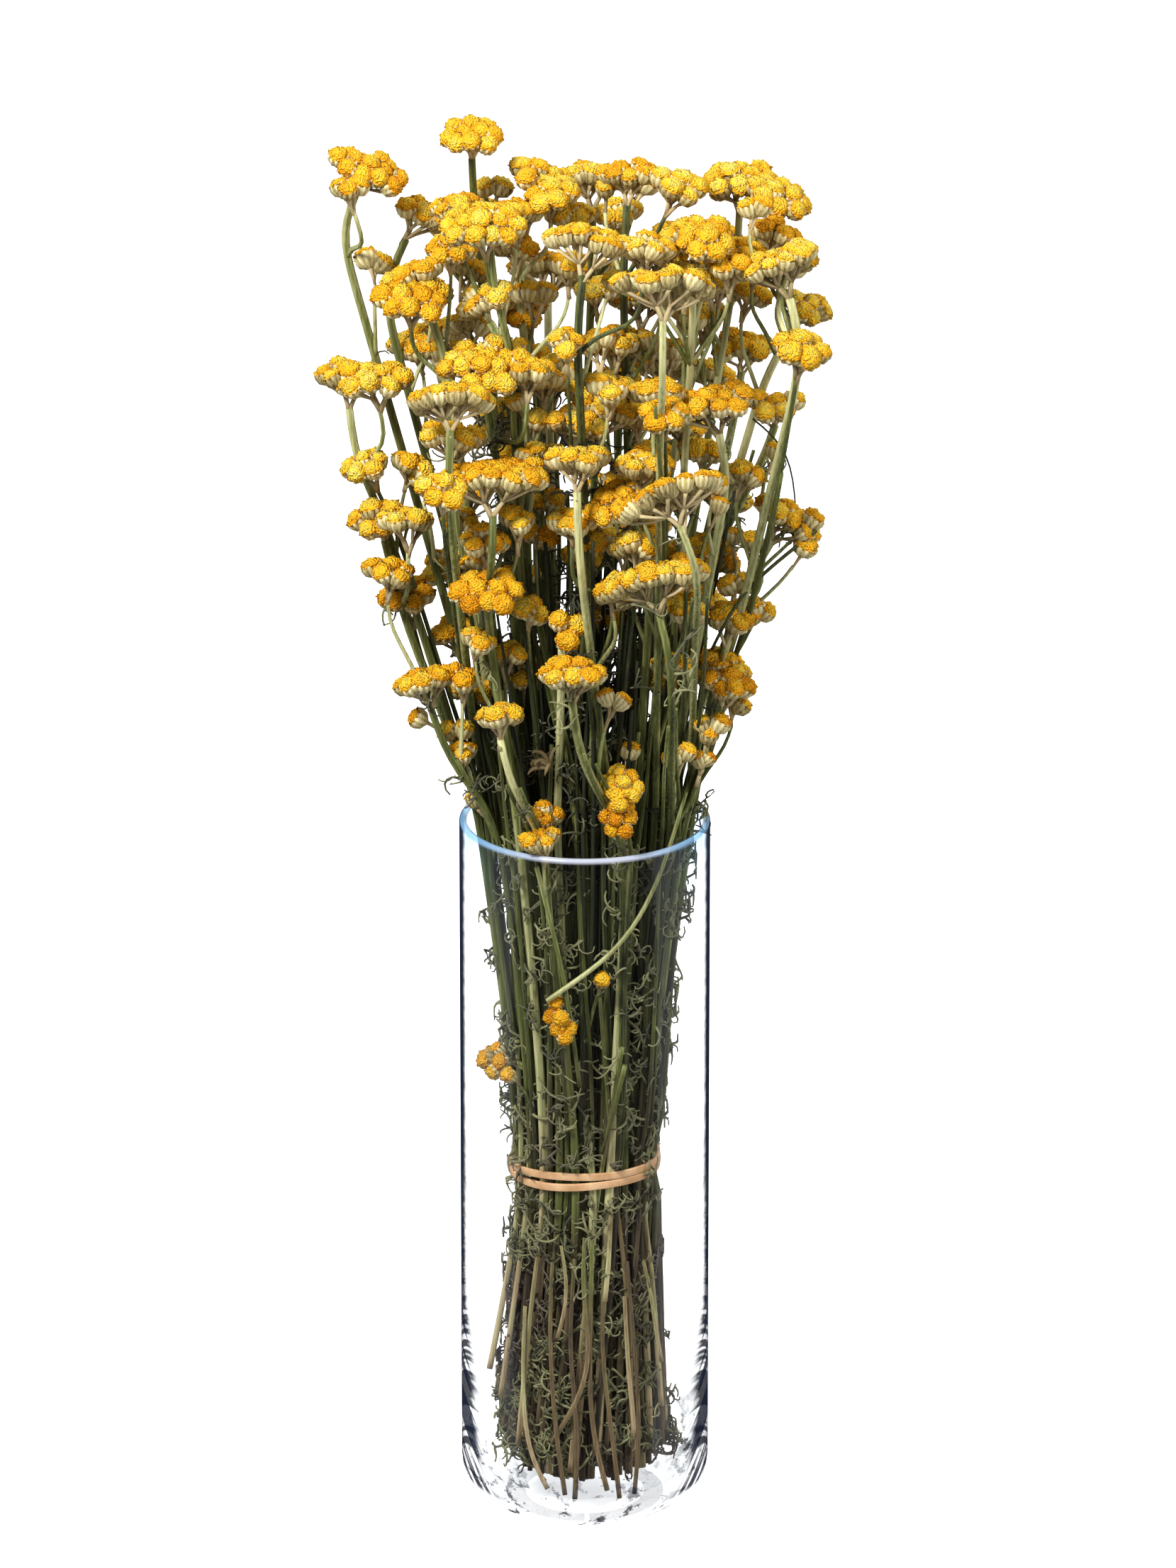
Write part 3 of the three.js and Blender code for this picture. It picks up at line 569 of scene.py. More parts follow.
    def slot_sprays(self) -> list[Slot]:
        """Gives steeply leaning sprays the outer rings, each filled by direction, low heads first."""
        ranked = []
        for spray, heads in enumerate(self.sprays):
            x, y, z = heads[0].middle
            slope = math.hypot(x, y) / (z - self.tie)
            ranked.append((spray, 1 if z < self.rim + self.low_range else 0, slope, math.atan2(y, x)))
        ranked.sort(key=lambda member: -member[2])
        found: dict[int, Slot] = {}
        for ring in range(self.rings, 0, -1):
            count = 6 * ring
            reach = ring * self.ring_step
            free = []
            for i in range(count):
                angle = 2 * math.pi * (i + 0.5) / count - math.pi
                across = self.stretch * reach * math.cos(angle)
                free.append(Slot(ring, angle, across, reach * math.sin(angle)))
            members, ranked = ranked[:count], ranked[count:]
            for spray, _, _, angle in sorted(members, key=lambda member: (-member[1], member[3])):
                free.sort(key=lambda slot: slot.turned_from(angle))
                found[spray] = free.pop(0)
        return [found[i] for i in range(len(self.sprays))]

    def comb(self) -> list[list[list[float]]]:
        """Stems from the rim to their necks, combed level by level clear of each other and of other heads."""
        stems = []
        for spray, slot in zip(self.sprays, self.slots):
            neck = list(spray[0].neck(self.neck))
            if neck[2] < self.rim + self.level:
                stems.append([neck])
                continue
            foot = [slot.x * self.rim_x, slot.y * self.rim_y, self.rim]
            points = [foot]
            for level in range(1, math.floor((neck[2] - self.rim - 6) / self.level) + 1):
                rise = level * self.level
                share = rise / (neck[2] - self.rim)
                points.append([*(a + (b - a) * share for a, b in zip(foot[:2], neck)), self.rim + rise])
            stems.append(points + [neck])
        near = self.near_balls(stems)
        for _ in range(self.comb_rounds):
            for points in stems:
                for i in range(1, len(points) - 1):
                    for k in range(2):
                        points[i][k] += 0.35 * ((points[i - 1][k] + points[i + 1][k]) / 2 - points[i][k])
            for a, points in enumerate(stems):
                for i in range(1, len(points) - 1):
                    p = points[i]
                    for x, y, keep in near[a][i]:
                        self.push_off(p, (x, y), keep, 1)
                    for b in range(a + 1, len(stems)):
                        if i + 1 < len(stems[b]):
                            q = stems[b][i]
                            self.push_off(p, q, 2 * self.stem + self.stem_gap, 0.5)
                            self.push_off(q, p, 2 * self.stem + self.stem_gap, 1)
        return stems

    def near_balls(self, stems: list[list[list[float]]]) -> list[list[list[Point]]]:
        """For every point of every stem, the balls at its height, with how far off the point must keep.

        Args:
            stems: The points of every stem.

        Returns:
            For every point of every stem: x and y of a ball and the distance to keep from them.
        """
        balls = []
        for spray, heads in enumerate(self.sprays):
            for row, head in enumerate(heads):
                own = -1 if row else spray
                balls += [(at, radius, own) for at, radius in self.balls(head)]
        found = []
        for a, points in enumerate(stems):
            levels = []
            for p in points:
                here = []
                for at, radius, own in balls:
                    rise = max(0.0, abs(at[2] - p[2]) - 5)
                    if own != a and rise < radius:
                        keep = math.sqrt(radius * radius - rise * rise) + self.stem + 0.8
                        here.append((at[0], at[1], keep))
                levels.append(here)
            found.append(levels)
        return found

    @staticmethod
    def push_off(p: list[float], q: Sequence[float], distance: float, share: float) -> None:
        """Moves p level with q until they are the given distance apart, or by a share of what is lacking.

        Args:
            p: The point that moves.
            q: The other point.
            distance: How far apart they should be.
            share: How much of the lack p makes up for.
        """
        dx, dy = p[0] - q[0], p[1] - q[1]
        if dx * dx + dy * dy >= distance * distance:
            return
        gap = math.hypot(dx, dy) or 1e-6
        p[0] += dx / gap * (distance - gap) * share
        p[1] += dy / gap * (distance - gap) * share

    def path(self, spray: int) -> list[Vector]:
        """The way of a stem from its cut end through the tie and its combed points up to its fork.

        Args:
            spray: The spray's number.

        Returns:
            The stem's points.
        """
        slot = self.slots[spray]
        tie = Vector((slot.x, slot.y, self.tie))
        cos, sin = math.cos(self.foot_turn), math.sin(self.foot_turn)
        x, y = slot.x * cos - slot.y * sin, slot.x * sin + slot.y * cos
        foot = Vector((self.foot_spread * x, self.foot_spread * y, self.vase_floor))
        foot = foot.lerp(tie, (self.foot_height(slot) - self.vase_floor) / (self.tie - self.vase_floor))
        points = [foot, tie, *(Vector(p) for p in self.stems[spray]), self.sprays[spray][0].fork_point()]
        return eased(smooth_path(points, 7), 9)

    def foot_height(self, slot: Slot) -> float:
        """The height of a stem's cut end: inner ones stand on the vase's floor, outer ones end higher.

        Args:
            slot: The stem's place at the tie.

        Returns:
            The height above the table.
        """
        state = 6000 + math.floor(slot.x * 37 + slot.y * 101 + 0.5)
        draw = (state * DRAW_FACTOR % DRAW_LIMIT) / DRAW_LIMIT
        raised = 0 if slot.ring < 3 else 3 + 12 * draw if slot.ring < 4 else 14 + 26 * draw
        return self.vase_floor + self.foot_clear + raised

    def sector(self, spray: int) -> int:
        """The sixth of the bunch in which a spray's slot lies."""
        return int((self.slots[spray].angle + math.pi) // (math.pi / 3)) % 6

    def joint(self, spray: int, head: FlowerHead) -> Vector:
        """The point of a stem at which the side stem to a second head leaves it.

        Args:
            spray: The spray's number.
            head: Its second head.

        Returns:
            The point.
        """
        above = self.stems[spray]
        limit = head.neck(self.neck)[2] - self.fork_drop
        upper = next((i for i, p in enumerate(above) if p[2] > limit), -1)
        return Vector(above[-1] if upper < 1 else above[upper - 1])


class Reading:
    """A socket's value, on which sums can be written as Python expressions."""

    def __init__(self, tree: bpy.types.NodeTree, socket: bpy.types.NodeSocket) -> None:
        """Wraps one output socket of a node tree.

        Args:
            tree: The node tree.
            socket: The output socket.
        """
        self.tree = tree
        self.socket = socket

    def sum(self, operation: str, *values: Reading | float, swap: bool = False) -> Reading:
        """Adds one Math node.

        Args:
            operation: The Math node's operation.
            values: The other values.
            swap: Whether this reading comes second.

        Returns:
            The node's result.
        """
        node = self.tree.nodes.new("ShaderNodeMath")
        node.operation = operation
        row = [self, *values]
        if swap:
            row.reverse()
        for i, value in enumerate(row):
            if isinstance(value, Reading):
                self.tree.links.new(value.socket, node.inputs[i])
            else:
                node.inputs[i].default_value = value
        return Reading(self.tree, node.outputs[0])

    def __add__(self, other: Reading | float) -> Reading:
        """This plus other."""
        return self.sum("ADD", other)

    __radd__ = __add__

    def __sub__(self, other: Reading | float) -> Reading:
        """This minus other."""
        return self.sum("SUBTRACT", other)

    def __rsub__(self, other: float) -> Reading:
        """Other minus this."""
        return self.sum("SUBTRACT", other, swap=True)

    def __mul__(self, other: Reading | float) -> Reading:
        """This times other."""
        return self.sum("MULTIPLY", other)

    __rmul__ = __mul__

    def __pow__(self, other: float) -> Reading:
        """This to a power."""
        return self.sum("POWER", other)

    def lowest(self, other: Reading | float) -> Reading:
        """The smaller of two values."""
        return self.sum("MINIMUM", other)

    def highest(self, other: Reading | float) -> Reading:
        """The larger of two values."""
        return self.sum("MAXIMUM", other)


class Shop:
    """One material's node tree while it is put together."""

    def __init__(self, name: str) -> None:
        """Makes an empty material of that name."""
        self.material = bpy.data.materials.new(name)
        self.material.use_nodes = True
        self.tree = self.material.node_tree
        self.tree.nodes.clear()

    def node(self, kind: str, settings: dict[str, Any] | None = None, **inputs: Any) -> bpy.types.Node:
        """Adds one node.

        Args:
            kind: The node's type without its ShaderNode prefix.
            settings: Its settings, which are made first; "stops" holds a ramp's stops.
            inputs: Its sockets' values or links, named with underscores for spaces or as in_0, in_1.

        Returns:
            The node.
        """
        made = self.tree.nodes.new("ShaderNode" + kind)
        for key, value in (settings or {}).items():
            if key == "stops":
                self.stops(made.color_ramp, value)
            else:
                setattr(made, key, value)
        for key, value in inputs.items():
            self.feed(made.inputs[int(key[3:]) if key.startswith("in_") else key.replace("_", " ")], value)
        return made

    def feed(self, socket: bpy.types.NodeSocket, value: Any) -> None:
        """Links a reading to a socket, or gives the socket a plain value.

        Args:
            socket: The socket.
            value: The reading or the plain value.
        """
        if isinstance(value, Reading):
            self.tree.links.new(value.socket, socket)
        else:
            socket.default_value = value

    @staticmethod
    def stops(ramp: bpy.types.ColorRamp, stops: Sequence[tuple[float, Sequence[float]]]) -> None:
        """Puts stops into a colour ramp.

        Args:
            ramp: The ramp.
            stops: The place and colour of each stop.
        """
        while len(ramp.elements) < len(stops):
            ramp.elements.new(0.5)
        for element, (place, colour) in zip(ramp.elements, stops):
            element.position = place
            element.color = colour

    def out(self, node: bpy.types.Node, which: int | str = 0) -> Reading:
        """One output of a node."""
        return Reading(self.tree, node.outputs[which])

    def place(self) -> Reading:
        """The point of the object, in metres."""
        return self.out(self.node("TexCoord"), "Object")

    def axes(self) -> list[Reading]:
        """The three coordinates of the point of the object."""
        split = self.node("SeparateXYZ", Vector=self.place())
        return [self.out(split, axis) for axis in "XYZ"]

    def attribute(self, name: str) -> Reading:
        """One of the piece's own values."""
        return self.out(self.node("Attribute", {"attribute_name": name}), "Fac")

    def noise(
        self, scale: float, detail: float = 3, vector: Reading | None = None, rough: float = 0.55
    ) -> Reading:
        """Cloudy noise, about half on average."""
        inputs = {"Vector": vector or self.place(), "Scale": scale, "Detail": detail, "Roughness": rough}
        return self.out(self.node("TexNoise", **inputs))

    def streaks(self, across: float, along: float, detail: float = 3) -> Reading:
        """Noise drawn out along the height."""
        mapping = self.node("Mapping", Vector=self.place(), Scale=(across, across, along))
        return self.noise(1, detail, self.out(mapping))

    def ramp(self, value: Reading, *stops: tuple[float, Sequence[float]]) -> Reading:
        """A colour looked up by a value."""
        rows = [(place, (*colour, 1.0)) for place, colour in stops]
        return self.out(self.node("ValToRGB", {"stops": rows}, Fac=value))

    def blend(self, share: Reading | float, one: Any, two: Any) -> Reading:
        """A colour between two.

        Args:
            share: The share of the second one.
            one: The first colour.
            two: The second colour.

        Returns:
            The blended colour.
        """
        made = self.node("Mix", {"data_type": "RGBA", "blend_type": "MIX", "clamp_result": True})
        for i, value in ((0, share), (6, one), (7, two)):
            self.feed(made.inputs[i], value if i == 0 or isinstance(value, Reading) else (*value, 1.0))
        return self.out(made, 2)

    def mix(self, share: Reading | float, one: bpy.types.Node, other: bpy.types.Node) -> bpy.types.Node:
        """A shader between two.

        Args:
            share: The share of the second one.
            one: The first shader.
            other: The second shader.

        Returns:
            The mixed shader.
        """
        mixed = self.node("MixShader", Fac=share)
        for socket, shader in enumerate((one, other), 1):
            self.tree.links.new(shader.outputs[0], mixed.inputs[socket])
        return mixed

    def spread(
        self, value: Reading, low: float, high: float, to_low: float = 0, to_high: float = 1
    ) -> Reading:
        """A value's range drawn over another range, and kept within it."""
        inputs = {"Value": value, "in_1": low, "in_2": high, "in_3": to_low, "in_4": to_high}
        return self.out(self.node("MapRange", {"clamp": True}, **inputs))

    def bump(self, height: Reading, strength: float, distance: float) -> Reading:
        """A bumpy normal from heights."""
        return self.out(self.node("Bump", Height=height, Strength=strength, Distance=distance))

    def close(self, shader: bpy.types.Node) -> bpy.types.Material:
        """Leads a shader to the output and gives the material.

        Args:
            shader: The last shader.

        Returns:
            The material.
        """
        output = self.node("OutputMaterial")
        self.tree.links.new(shader.outputs[0], output.inputs["Surface"])
        return self.material

    def plain(self, colour: Reading, rough: Reading | float, **inputs: Any) -> bpy.types.Material:
        """Ends the material as one plain surface.

        Args:
            colour: Its colour.
            rough: Its roughness.
            inputs: Other values of the surface.

        Returns:
            The material.
        """
        return self.close(self.node("BsdfPrincipled", Base_Color=colour, Roughness=rough, **inputs))


@dataclass(frozen=True)
class FloretFinish:
    """Fuzzy golden florets: a painted highlight on the floret tips and the tops of the domes, painted shade
    in burnt orange in the grooves between florets and low on each dome, and burnt orange on older buttons and
    lower heads.
    """

    burnt: Point = (0.55, 0.19, 0.006)
    orange: Point = (0.98, 0.42, 0.01)
    gold: Point = (1.0, 0.62, 0.035)
    bright: Point = (1.0, 0.82, 0.18)

    def material(self) -> bpy.types.Material:
        """Makes the material."""
        shop = Shop("floret_gold")
        tone = shop.attribute("tone")
        cells = shop.node("TexVoronoi", Vector=shop.place(), Scale=1000.0)
        # Painted shade and highlight: tip is low in the grooves between florets and high at their tips, and
        # the tone is low towards the foot of each dome.
        tip = shop.spread(shop.out(cells, "Distance"), 0.1, 0.7, 1, 0)
        level = (tone * 0.8 + tip * 0.45 + shop.noise(180, 2) * 0.5 - 0.38).highest(0).lowest(1)
        stops = (0.0, self.burnt), (0.3, self.orange), (0.6, self.gold), (0.95, self.bright)
        colour = shop.ramp(level, *stops)
        height = tip + shop.noise(1500, 2) * 0.6
        return shop.plain(colour, 0.9, Specular_IOR_Level=0.1, Normal=shop.bump(height, 1.0, 0.0012))


@dataclass(frozen=True)
class StemFinish:
    """Dry ribbed stems: brown and tan near the foot, olive above, straw where the sun bleached them."""

    umber: Point = (0.035, 0.025, 0.016)
    brown: Point = (0.17, 0.115, 0.052)
    tan: Point = (0.55, 0.42, 0.24)
    moss: Point = (0.018, 0.021, 0.008)
    olive: Point = (0.125, 0.14, 0.03)
    straw: Point = (0.6, 0.58, 0.28)

    def material(self) -> bpy.types.Material:
        """Makes the material."""
        shop = Shop("dry_stem")
        tone = shop.attribute("tone")
        grain = shop.streaks(1100, 25)
        clouds = shop.streaks(60, 14, 2)
        # Low tones come partly from painted shade: stems in the middle and the depth of the bunch are given
        # darker tones, and so are the grooves between ribs.
        level = (tone + (clouds - 0.5) * 0.8 + (grain - 0.5) * 0.6).highest(0).lowest(1)
        low = shop.ramp(level, (0.0, self.umber), (0.4, self.brown), (0.9, self.tan))
        high = shop.ramp(level, (0.0, self.moss), (0.42, self.olive), (0.95, self.straw))
        colour = shop.blend(shop.spread(shop.axes()[2] + (clouds - 0.5) * 0.4, 0.07, 0.19), low, high)
        return shop.plain(colour, 0.65, Specular_IOR_Level=0.3, Normal=shop.bump(grain, 0.8, 0.0006))


@dataclass(frozen=True)
class RayFinish:
    """Thin tan rays under the buttons."""

    dark: Point = (0.16, 0.11, 0.04)
    light: Point = (0.58, 0.46, 0.24)

    def material(self) -> bpy.types.Material:
        """Makes the material."""
        shop = Shop("tan_ray")
        level = (shop.attribute("tone") + shop.noise(260, 2) * 0.5 - 0.25).highest(0).lowest(1)
        return shop.plain(shop.ramp(level, (0.0, self.dark), (1.0, self.light)), 0.75)


@dataclass(frozen=True)
class CupFinish:
    """Pale ribbed cups of small dry scales that hold the florets."""

    dark: Point = (0.1, 0.062, 0.018)
    middle: Point = (0.46, 0.37, 0.14)
    light: Point = (0.8, 0.72, 0.42)

    def material(self) -> bpy.types.Material:
        """Makes the material."""
        shop = Shop("pale_cup")
        fine = shop.streaks(1600, 300)
        # Low tones come partly from painted shade in the grooves between the cups' ribs.
        level = (shop.attribute("tone") + fine * 0.9 - 0.45).highest(0).lowest(1)
        colour = shop.ramp(level, (0.05, self.dark), (0.4, self.middle), (0.9, self.light))
        return shop.plain(colour, 0.8, Normal=shop.bump(fine, 0.7, 0.0004))


@dataclass(frozen=True)
class LeafFinish:
    """Shrivelled thread-like leaves, dark olive to nearly black."""

    # Leaves in the depth of the bunch get tones near this darkest colour, as painted shade.
    dark: Point = (0.011, 0.012, 0.009)
    light: Point = (0.27, 0.26, 0.12)
    brown: Point = (0.085, 0.052, 0.04)

    def material(self) -> bpy.types.Material:
        """Makes the material."""
        shop = Shop("curled_leaf")
        level = (shop.attribute("tone") + shop.noise(200, 3) * 0.8 - 0.4).highest(0).lowest(1)
        withered = shop.spread(shop.noise(22, 2), 0.48, 0.6) * shop.spread(shop.axes()[2], 0.08, 0.2, 1, 0)
        green = shop.ramp(level, (0.0, self.dark), (1.0, self.light))
        return shop.plain(shop.blend(withered, green, self.brown), 0.75)


@dataclass(frozen=True)
class RubberFinish:
    """Dull tan rubber with a little bloom on its faces."""

    deep: Point = (0.56, 0.3, 0.13)
    pale: Point = (0.82, 0.52, 0.28)

    def material(self) -> bpy.types.Material:
        """Makes the material."""
        shop = Shop("tan_rubber")
        clouds = shop.noise(120, 4)
        colour = shop.blend(shop.spread(clouds, 0.35, 0.7), self.deep, self.pale)
        rough = shop.spread(clouds, 0.3, 0.7, 0.45, 0.65)
        return shop.plain(colour, rough, Normal=shop.bump(shop.noise(900, 3), 0.3, 0.0002))


@dataclass(frozen=True)
class GlassFinish:
    """Clear glass: seen through where it faces the eye, with painted shade along its outline, a painted
    highlight on its lip, a blue painted reflection beside the mouth, and streaks at its heel.
    """

    tint: Point = (0.985, 0.99, 0.995)
    # Blue painted reflection beside the mouth.
    blue_reflection: Point = (0.6, 0.8, 1.0)
    # Painted shade along the outline; also the colour of the swirls and seeds at the heel and foot.
    edge_shade_and_swirls: Point = (0.012, 0.018, 0.04)
    # The lip's painted highlight, pale in front and blue at the sides.
    rim: Point = (0.62, 0.64, 0.76)
    rim_side_highlight: Point = (0.16, 0.42, 0.72)

    def material(self) -> bpy.types.Material:
        """Makes the material."""
        shop = Shop("clear_glass")
        facing = shop.out(shop.node("LayerWeight", Blend=0.5), "Facing")
        axes = shop.axes()
        height, side = axes[2], axes[0].sum("ABSOLUTE")
        clear = shop.node("BsdfTransparent", Color=(*self.tint, 1.0))
        blue = shop.node("BsdfTransparent", Color=(*self.blue_reflection, 1.0))
        # A blue painted reflection on the glass at the sides, just below the mouth.
        beside_mouth = shop.spread(height, 0.262, 0.288) * shop.spread(side, 0.034, 0.044, 0, 0.45)
        body = shop.mix(beside_mouth, clear, blue)
        shine = shop.node("BsdfGlossy", Color=(0.9, 0.95, 1.0, 1.0), Roughness=0.03)
        bright = shop.mix(shop.out(shop.node("Fresnel", IOR=1.45)) * 0.08, body, shine)
        # The lip is painted opaque as a painted highlight, pale in front and blue at the sides.
        tone = shop.blend(shop.spread(side, 0.015, 0.045), self.rim, self.rim_side_highlight)
        rim = shop.node("BsdfPrincipled", Base_Color=tone, Roughness=0.15)
        lit = shop.mix(shop.spread(height, 0.2898, 0.291, 0, 0.65), bright, rim)
        # This near-black surface is painted shade along the outline, and also draws the swirls and seeds.
        shade_and_swirls = shop.node("BsdfPrincipled", Base_Color=(*self.edge_shade_and_swirls, 1.0), Specular_IOR_Level=0.0)
        dark = self.outline(shop, facing, axes) + self.swirls(shop, axes)
        return shop.close(shop.mix(dark.lowest(0.95), lit, shade_and_swirls))

    @staticmethod
    def outline(shop: Shop, facing: Reading, axes: Sequence[Reading]) -> Reading:
        """The painted shade along the outline of the outer wall, which breaks into slanting streaks above the
        heel.

        Args:
            shop: The material.
            facing: How far the glass turns away.
            axes: The coordinates of the point.

        Returns:
            How dark the glass is.
        """
        beside, away, height = axes
        wall = shop.spread(beside * beside + away * away, 0.0023, 0.0024)
        low, tall = shop.spread(height, 0.03, 0.09, 1, 0), shop.spread(height, 0.06, 0.17, 1, 0)
        across = (height * 0.55 - beside.sum("ABSOLUTE")) * 430.0
        slant = shop.node("CombineXYZ", X=across, Y=height * 10.0, Z=away * 8.0)
        lines = shop.noise(1, 1, shop.out(slant)) - 0.5
        sharp = ((facing + lines * (tall * 0.35 + 0.08) - (0.71 - low * 0.26)) * 9.0).highest(0).lowest(1)
        slits = shop.spread(lines, 0.0, 0.07) * tall * 0.92
        fade = shop.spread(facing, 0.56, 0.95) ** 2.0
        return wall * (sharp * (1.0 - slits) * 0.93 + fade * 0.45)

    @staticmethod
    def swirls(shop: Shop, axes: Sequence[Reading]) -> Reading:
        """Fine dark squiggles round the heel and small seeds in the foot.

        Args:
            shop: The material.
            axes: The coordinates of the point.

        Returns:
            How dark the glass is.
        """
        beside, away, height = axes
        fine = shop.noise(85, 4, None, 0.7)
        ring = shop.spread(beside * beside + away * away, 0.0012, 0.0019)
        heel = ring * shop.spread(height, 0.014, 0.034, 1, 0)
        squiggles = heel * shop.spread(fine, 0.57, 0.62, 0, 0.85)
        floor = shop.spread(height, 0.003, 0.012, 1, 0) * shop.spread(fine, 0.64, 0.67, 0, 0.4)
        seeds = shop.node("TexVoronoi", Vector=shop.place(), Scale=120.0)
        dots = shop.spread(shop.out(seeds, "Distance"), 0.05, 0.09, 1, 0)
        return squiggles + floor + dots * shop.spread(height, 0.0, 0.05, 0.8, 0)


@dataclass
class Thicket:
    """A mesh of many strands and stamped shapes that become one piece."""

    name: str
    bm: bmesh.types.BMesh = field(default_factory=bmesh.new)
    count: int = 0

    def __post_init__(self) -> None:
        """Gives the mesh its own tone value."""
        self.tone = self.bm.verts.layers.float.new("tone")

    def stamp(
        self,
        shape: bpy.types.Mesh,
        spot: Callable[[Vector], Vector],
        glue: int,
        tone: Callable[[Vector], float],
    ) -> None:
        """Adds a copy of a shape, with every corner moved.

        Args:
            shape: The shape.
            spot: Gives a corner's place in millimetres from its place in the shape.
            glue: The place of its material.
            tone: Gives a corner's tone from its place in the shape.
        """
        faces = len(self.bm.faces)
        self.bm.from_mesh(shape)
        self.bm.verts.ensure_lookup_table()
        self.bm.faces.ensure_lookup_table()
        for vert in self.bm.verts[self.count :]:
            vert[self.tone] = tone(vert.co)
            vert.co = spot(vert.co) * MM
        for face in self.bm.faces[faces:]:
            face.material_index = glue
            face.smooth = True
        self.count = len(self.bm.verts)

    def piece(self, *materials: bpy.types.Material) -> bpy.types.Object:
        """Ends the mesh and makes it an object."""
        return linked(self.name, kept_mesh(self.bm, self.name, *materials))


@dataclass
class Patterns:
    """The small shapes that are stamped again and again."""

    rods: dict[tuple[int, int, float], bpy.types.Mesh] = field(default_factory=dict)
    domes: list[bpy.types.Mesh] = field(default_factory=list)
    cups: list[bpy.types.Mesh] = field(default_factory=list)

    def rod(self, sides: int, steps: int, ribs: float = 1.0) -> bpy.types.Mesh:
        """A rod of radius 1 from z 0 to z steps, cut at every whole z.

        Args:
            sides: Its number of sides.
            steps: Its number of lengths.
            ribs: The radius of every other corner, which makes ribs.

        Returns:
            The shape.
        """
        key = (sides, steps, ribs)
        if key not in self.rods:
            bm = bmesh.new()
            size = {"segments": sides, "radius1": 1, "radius2": 1, "depth": steps}
            bmesh.ops.create_cone(bm, cap_ends=True, matrix=Matrix.Translation((0, 0, steps / 2)), **size)
            for step in range(1, steps):
                parts = [*bm.verts, *bm.edges, *bm.faces]
                bmesh.ops.bisect_plane(bm, geom=parts, plane_co=(0, 0, step), plane_no=(0, 0, 1))
            for vert in bm.verts:
                if round(math.atan2(vert.co.y, vert.co.x) / (2 * math.pi / sides)) % 2:
                    vert.co.x *= ribs
                    vert.co.y *= ribs
            self.rods[key] = kept_mesh(bm, f"rod_{sides}_{steps}")
        return self.rods[key]

    def grow(self, seed: int = 11) -> None:
        """Makes a few variants of the floret dome and of the cup.

        Args:
            seed: The start of the random draws.
        """
        rng = random.Random(seed)
        self.domes = [self.dome(rng, i) for i in range(5)]
        self.cups = [self.cup(rng, i) for i in range(3)]

    @staticmethod
    def dome(rng: random.Random, number: int) -> bpy.types.Mesh:
        """Makes one floret dome: a cut ball with uneven peaks.

        Args:
            rng: The random draws.
            number: The variant's number.

        Returns:
            The shape.
        """
        bm = bmesh.new()
        bmesh.ops.create_icosphere(bm, subdivisions=2, radius=1)
        cut = {"plane_co": (0, 0, -0.15), "plane_no": (0, 0, -1), "clear_outer": True}
        bmesh.ops.bisect_plane(bm, geom=[*bm.verts, *bm.edges, *bm.faces], **cut)
        bmesh.ops.holes_fill(bm, edges=[edge for edge in bm.edges if edge.is_boundary])
        upper = [face for face in bm.faces if face.normal.z > -0.5 and rng.random() < 0.5]
        bmesh.ops.poke(bm, faces=upper, offset=0.2)
        for vert in bm.verts:
            vert.co *= 1 + 0.22 * (rng.random() - 0.5)
        return kept_mesh(bm, f"dome_{number}")

    @staticmethod
    def cup(rng: random.Random, number: int) -> bpy.types.Mesh:
        """Makes one ribbed cup, with its mouth at z 0 and its foot at z -1.

        Args:
            rng: The random draws.
            number: The variant's number.

        Returns:
            The shape.
        """
        bm = bmesh.new()
        bmesh.ops.create_circle(bm, cap_ends=True, segments=2 * CUP_RIBS, radius=0.2)
        edges = list(bm.edges)
        for height, radius in ((0.3, 0.84), (0.72, 1.06), (1.0, 1.0)):
            made = bmesh.ops.extrude_edge_only(bm, edges=edges)["geom"]
            edges = [part for part in made if isinstance(part, bmesh.types.BMEdge)]
            for vert in made:
                if isinstance(vert, bmesh.types.BMVert):
                    angle = math.atan2(vert.co.y, vert.co.x)
                    ridge = 1 if round(angle / (math.pi / CUP_RIBS)) % 2 else -1
                    rib = 1 - 0.09 * ridge + 0.04 * (rng.random() - 0.5)
                    vert.co = Vector((math.cos(angle) * radius * rib, math.sin(angle) * radius * rib, height))
        bmesh.ops.holes_fill(bm, edges=edges)
        for vert in bm.verts:
            vert.co.z -= 1
        bmesh.ops.recalc_face_normals(bm, faces=bm.faces)
        return kept_mesh(bm, f"cup_{number}")


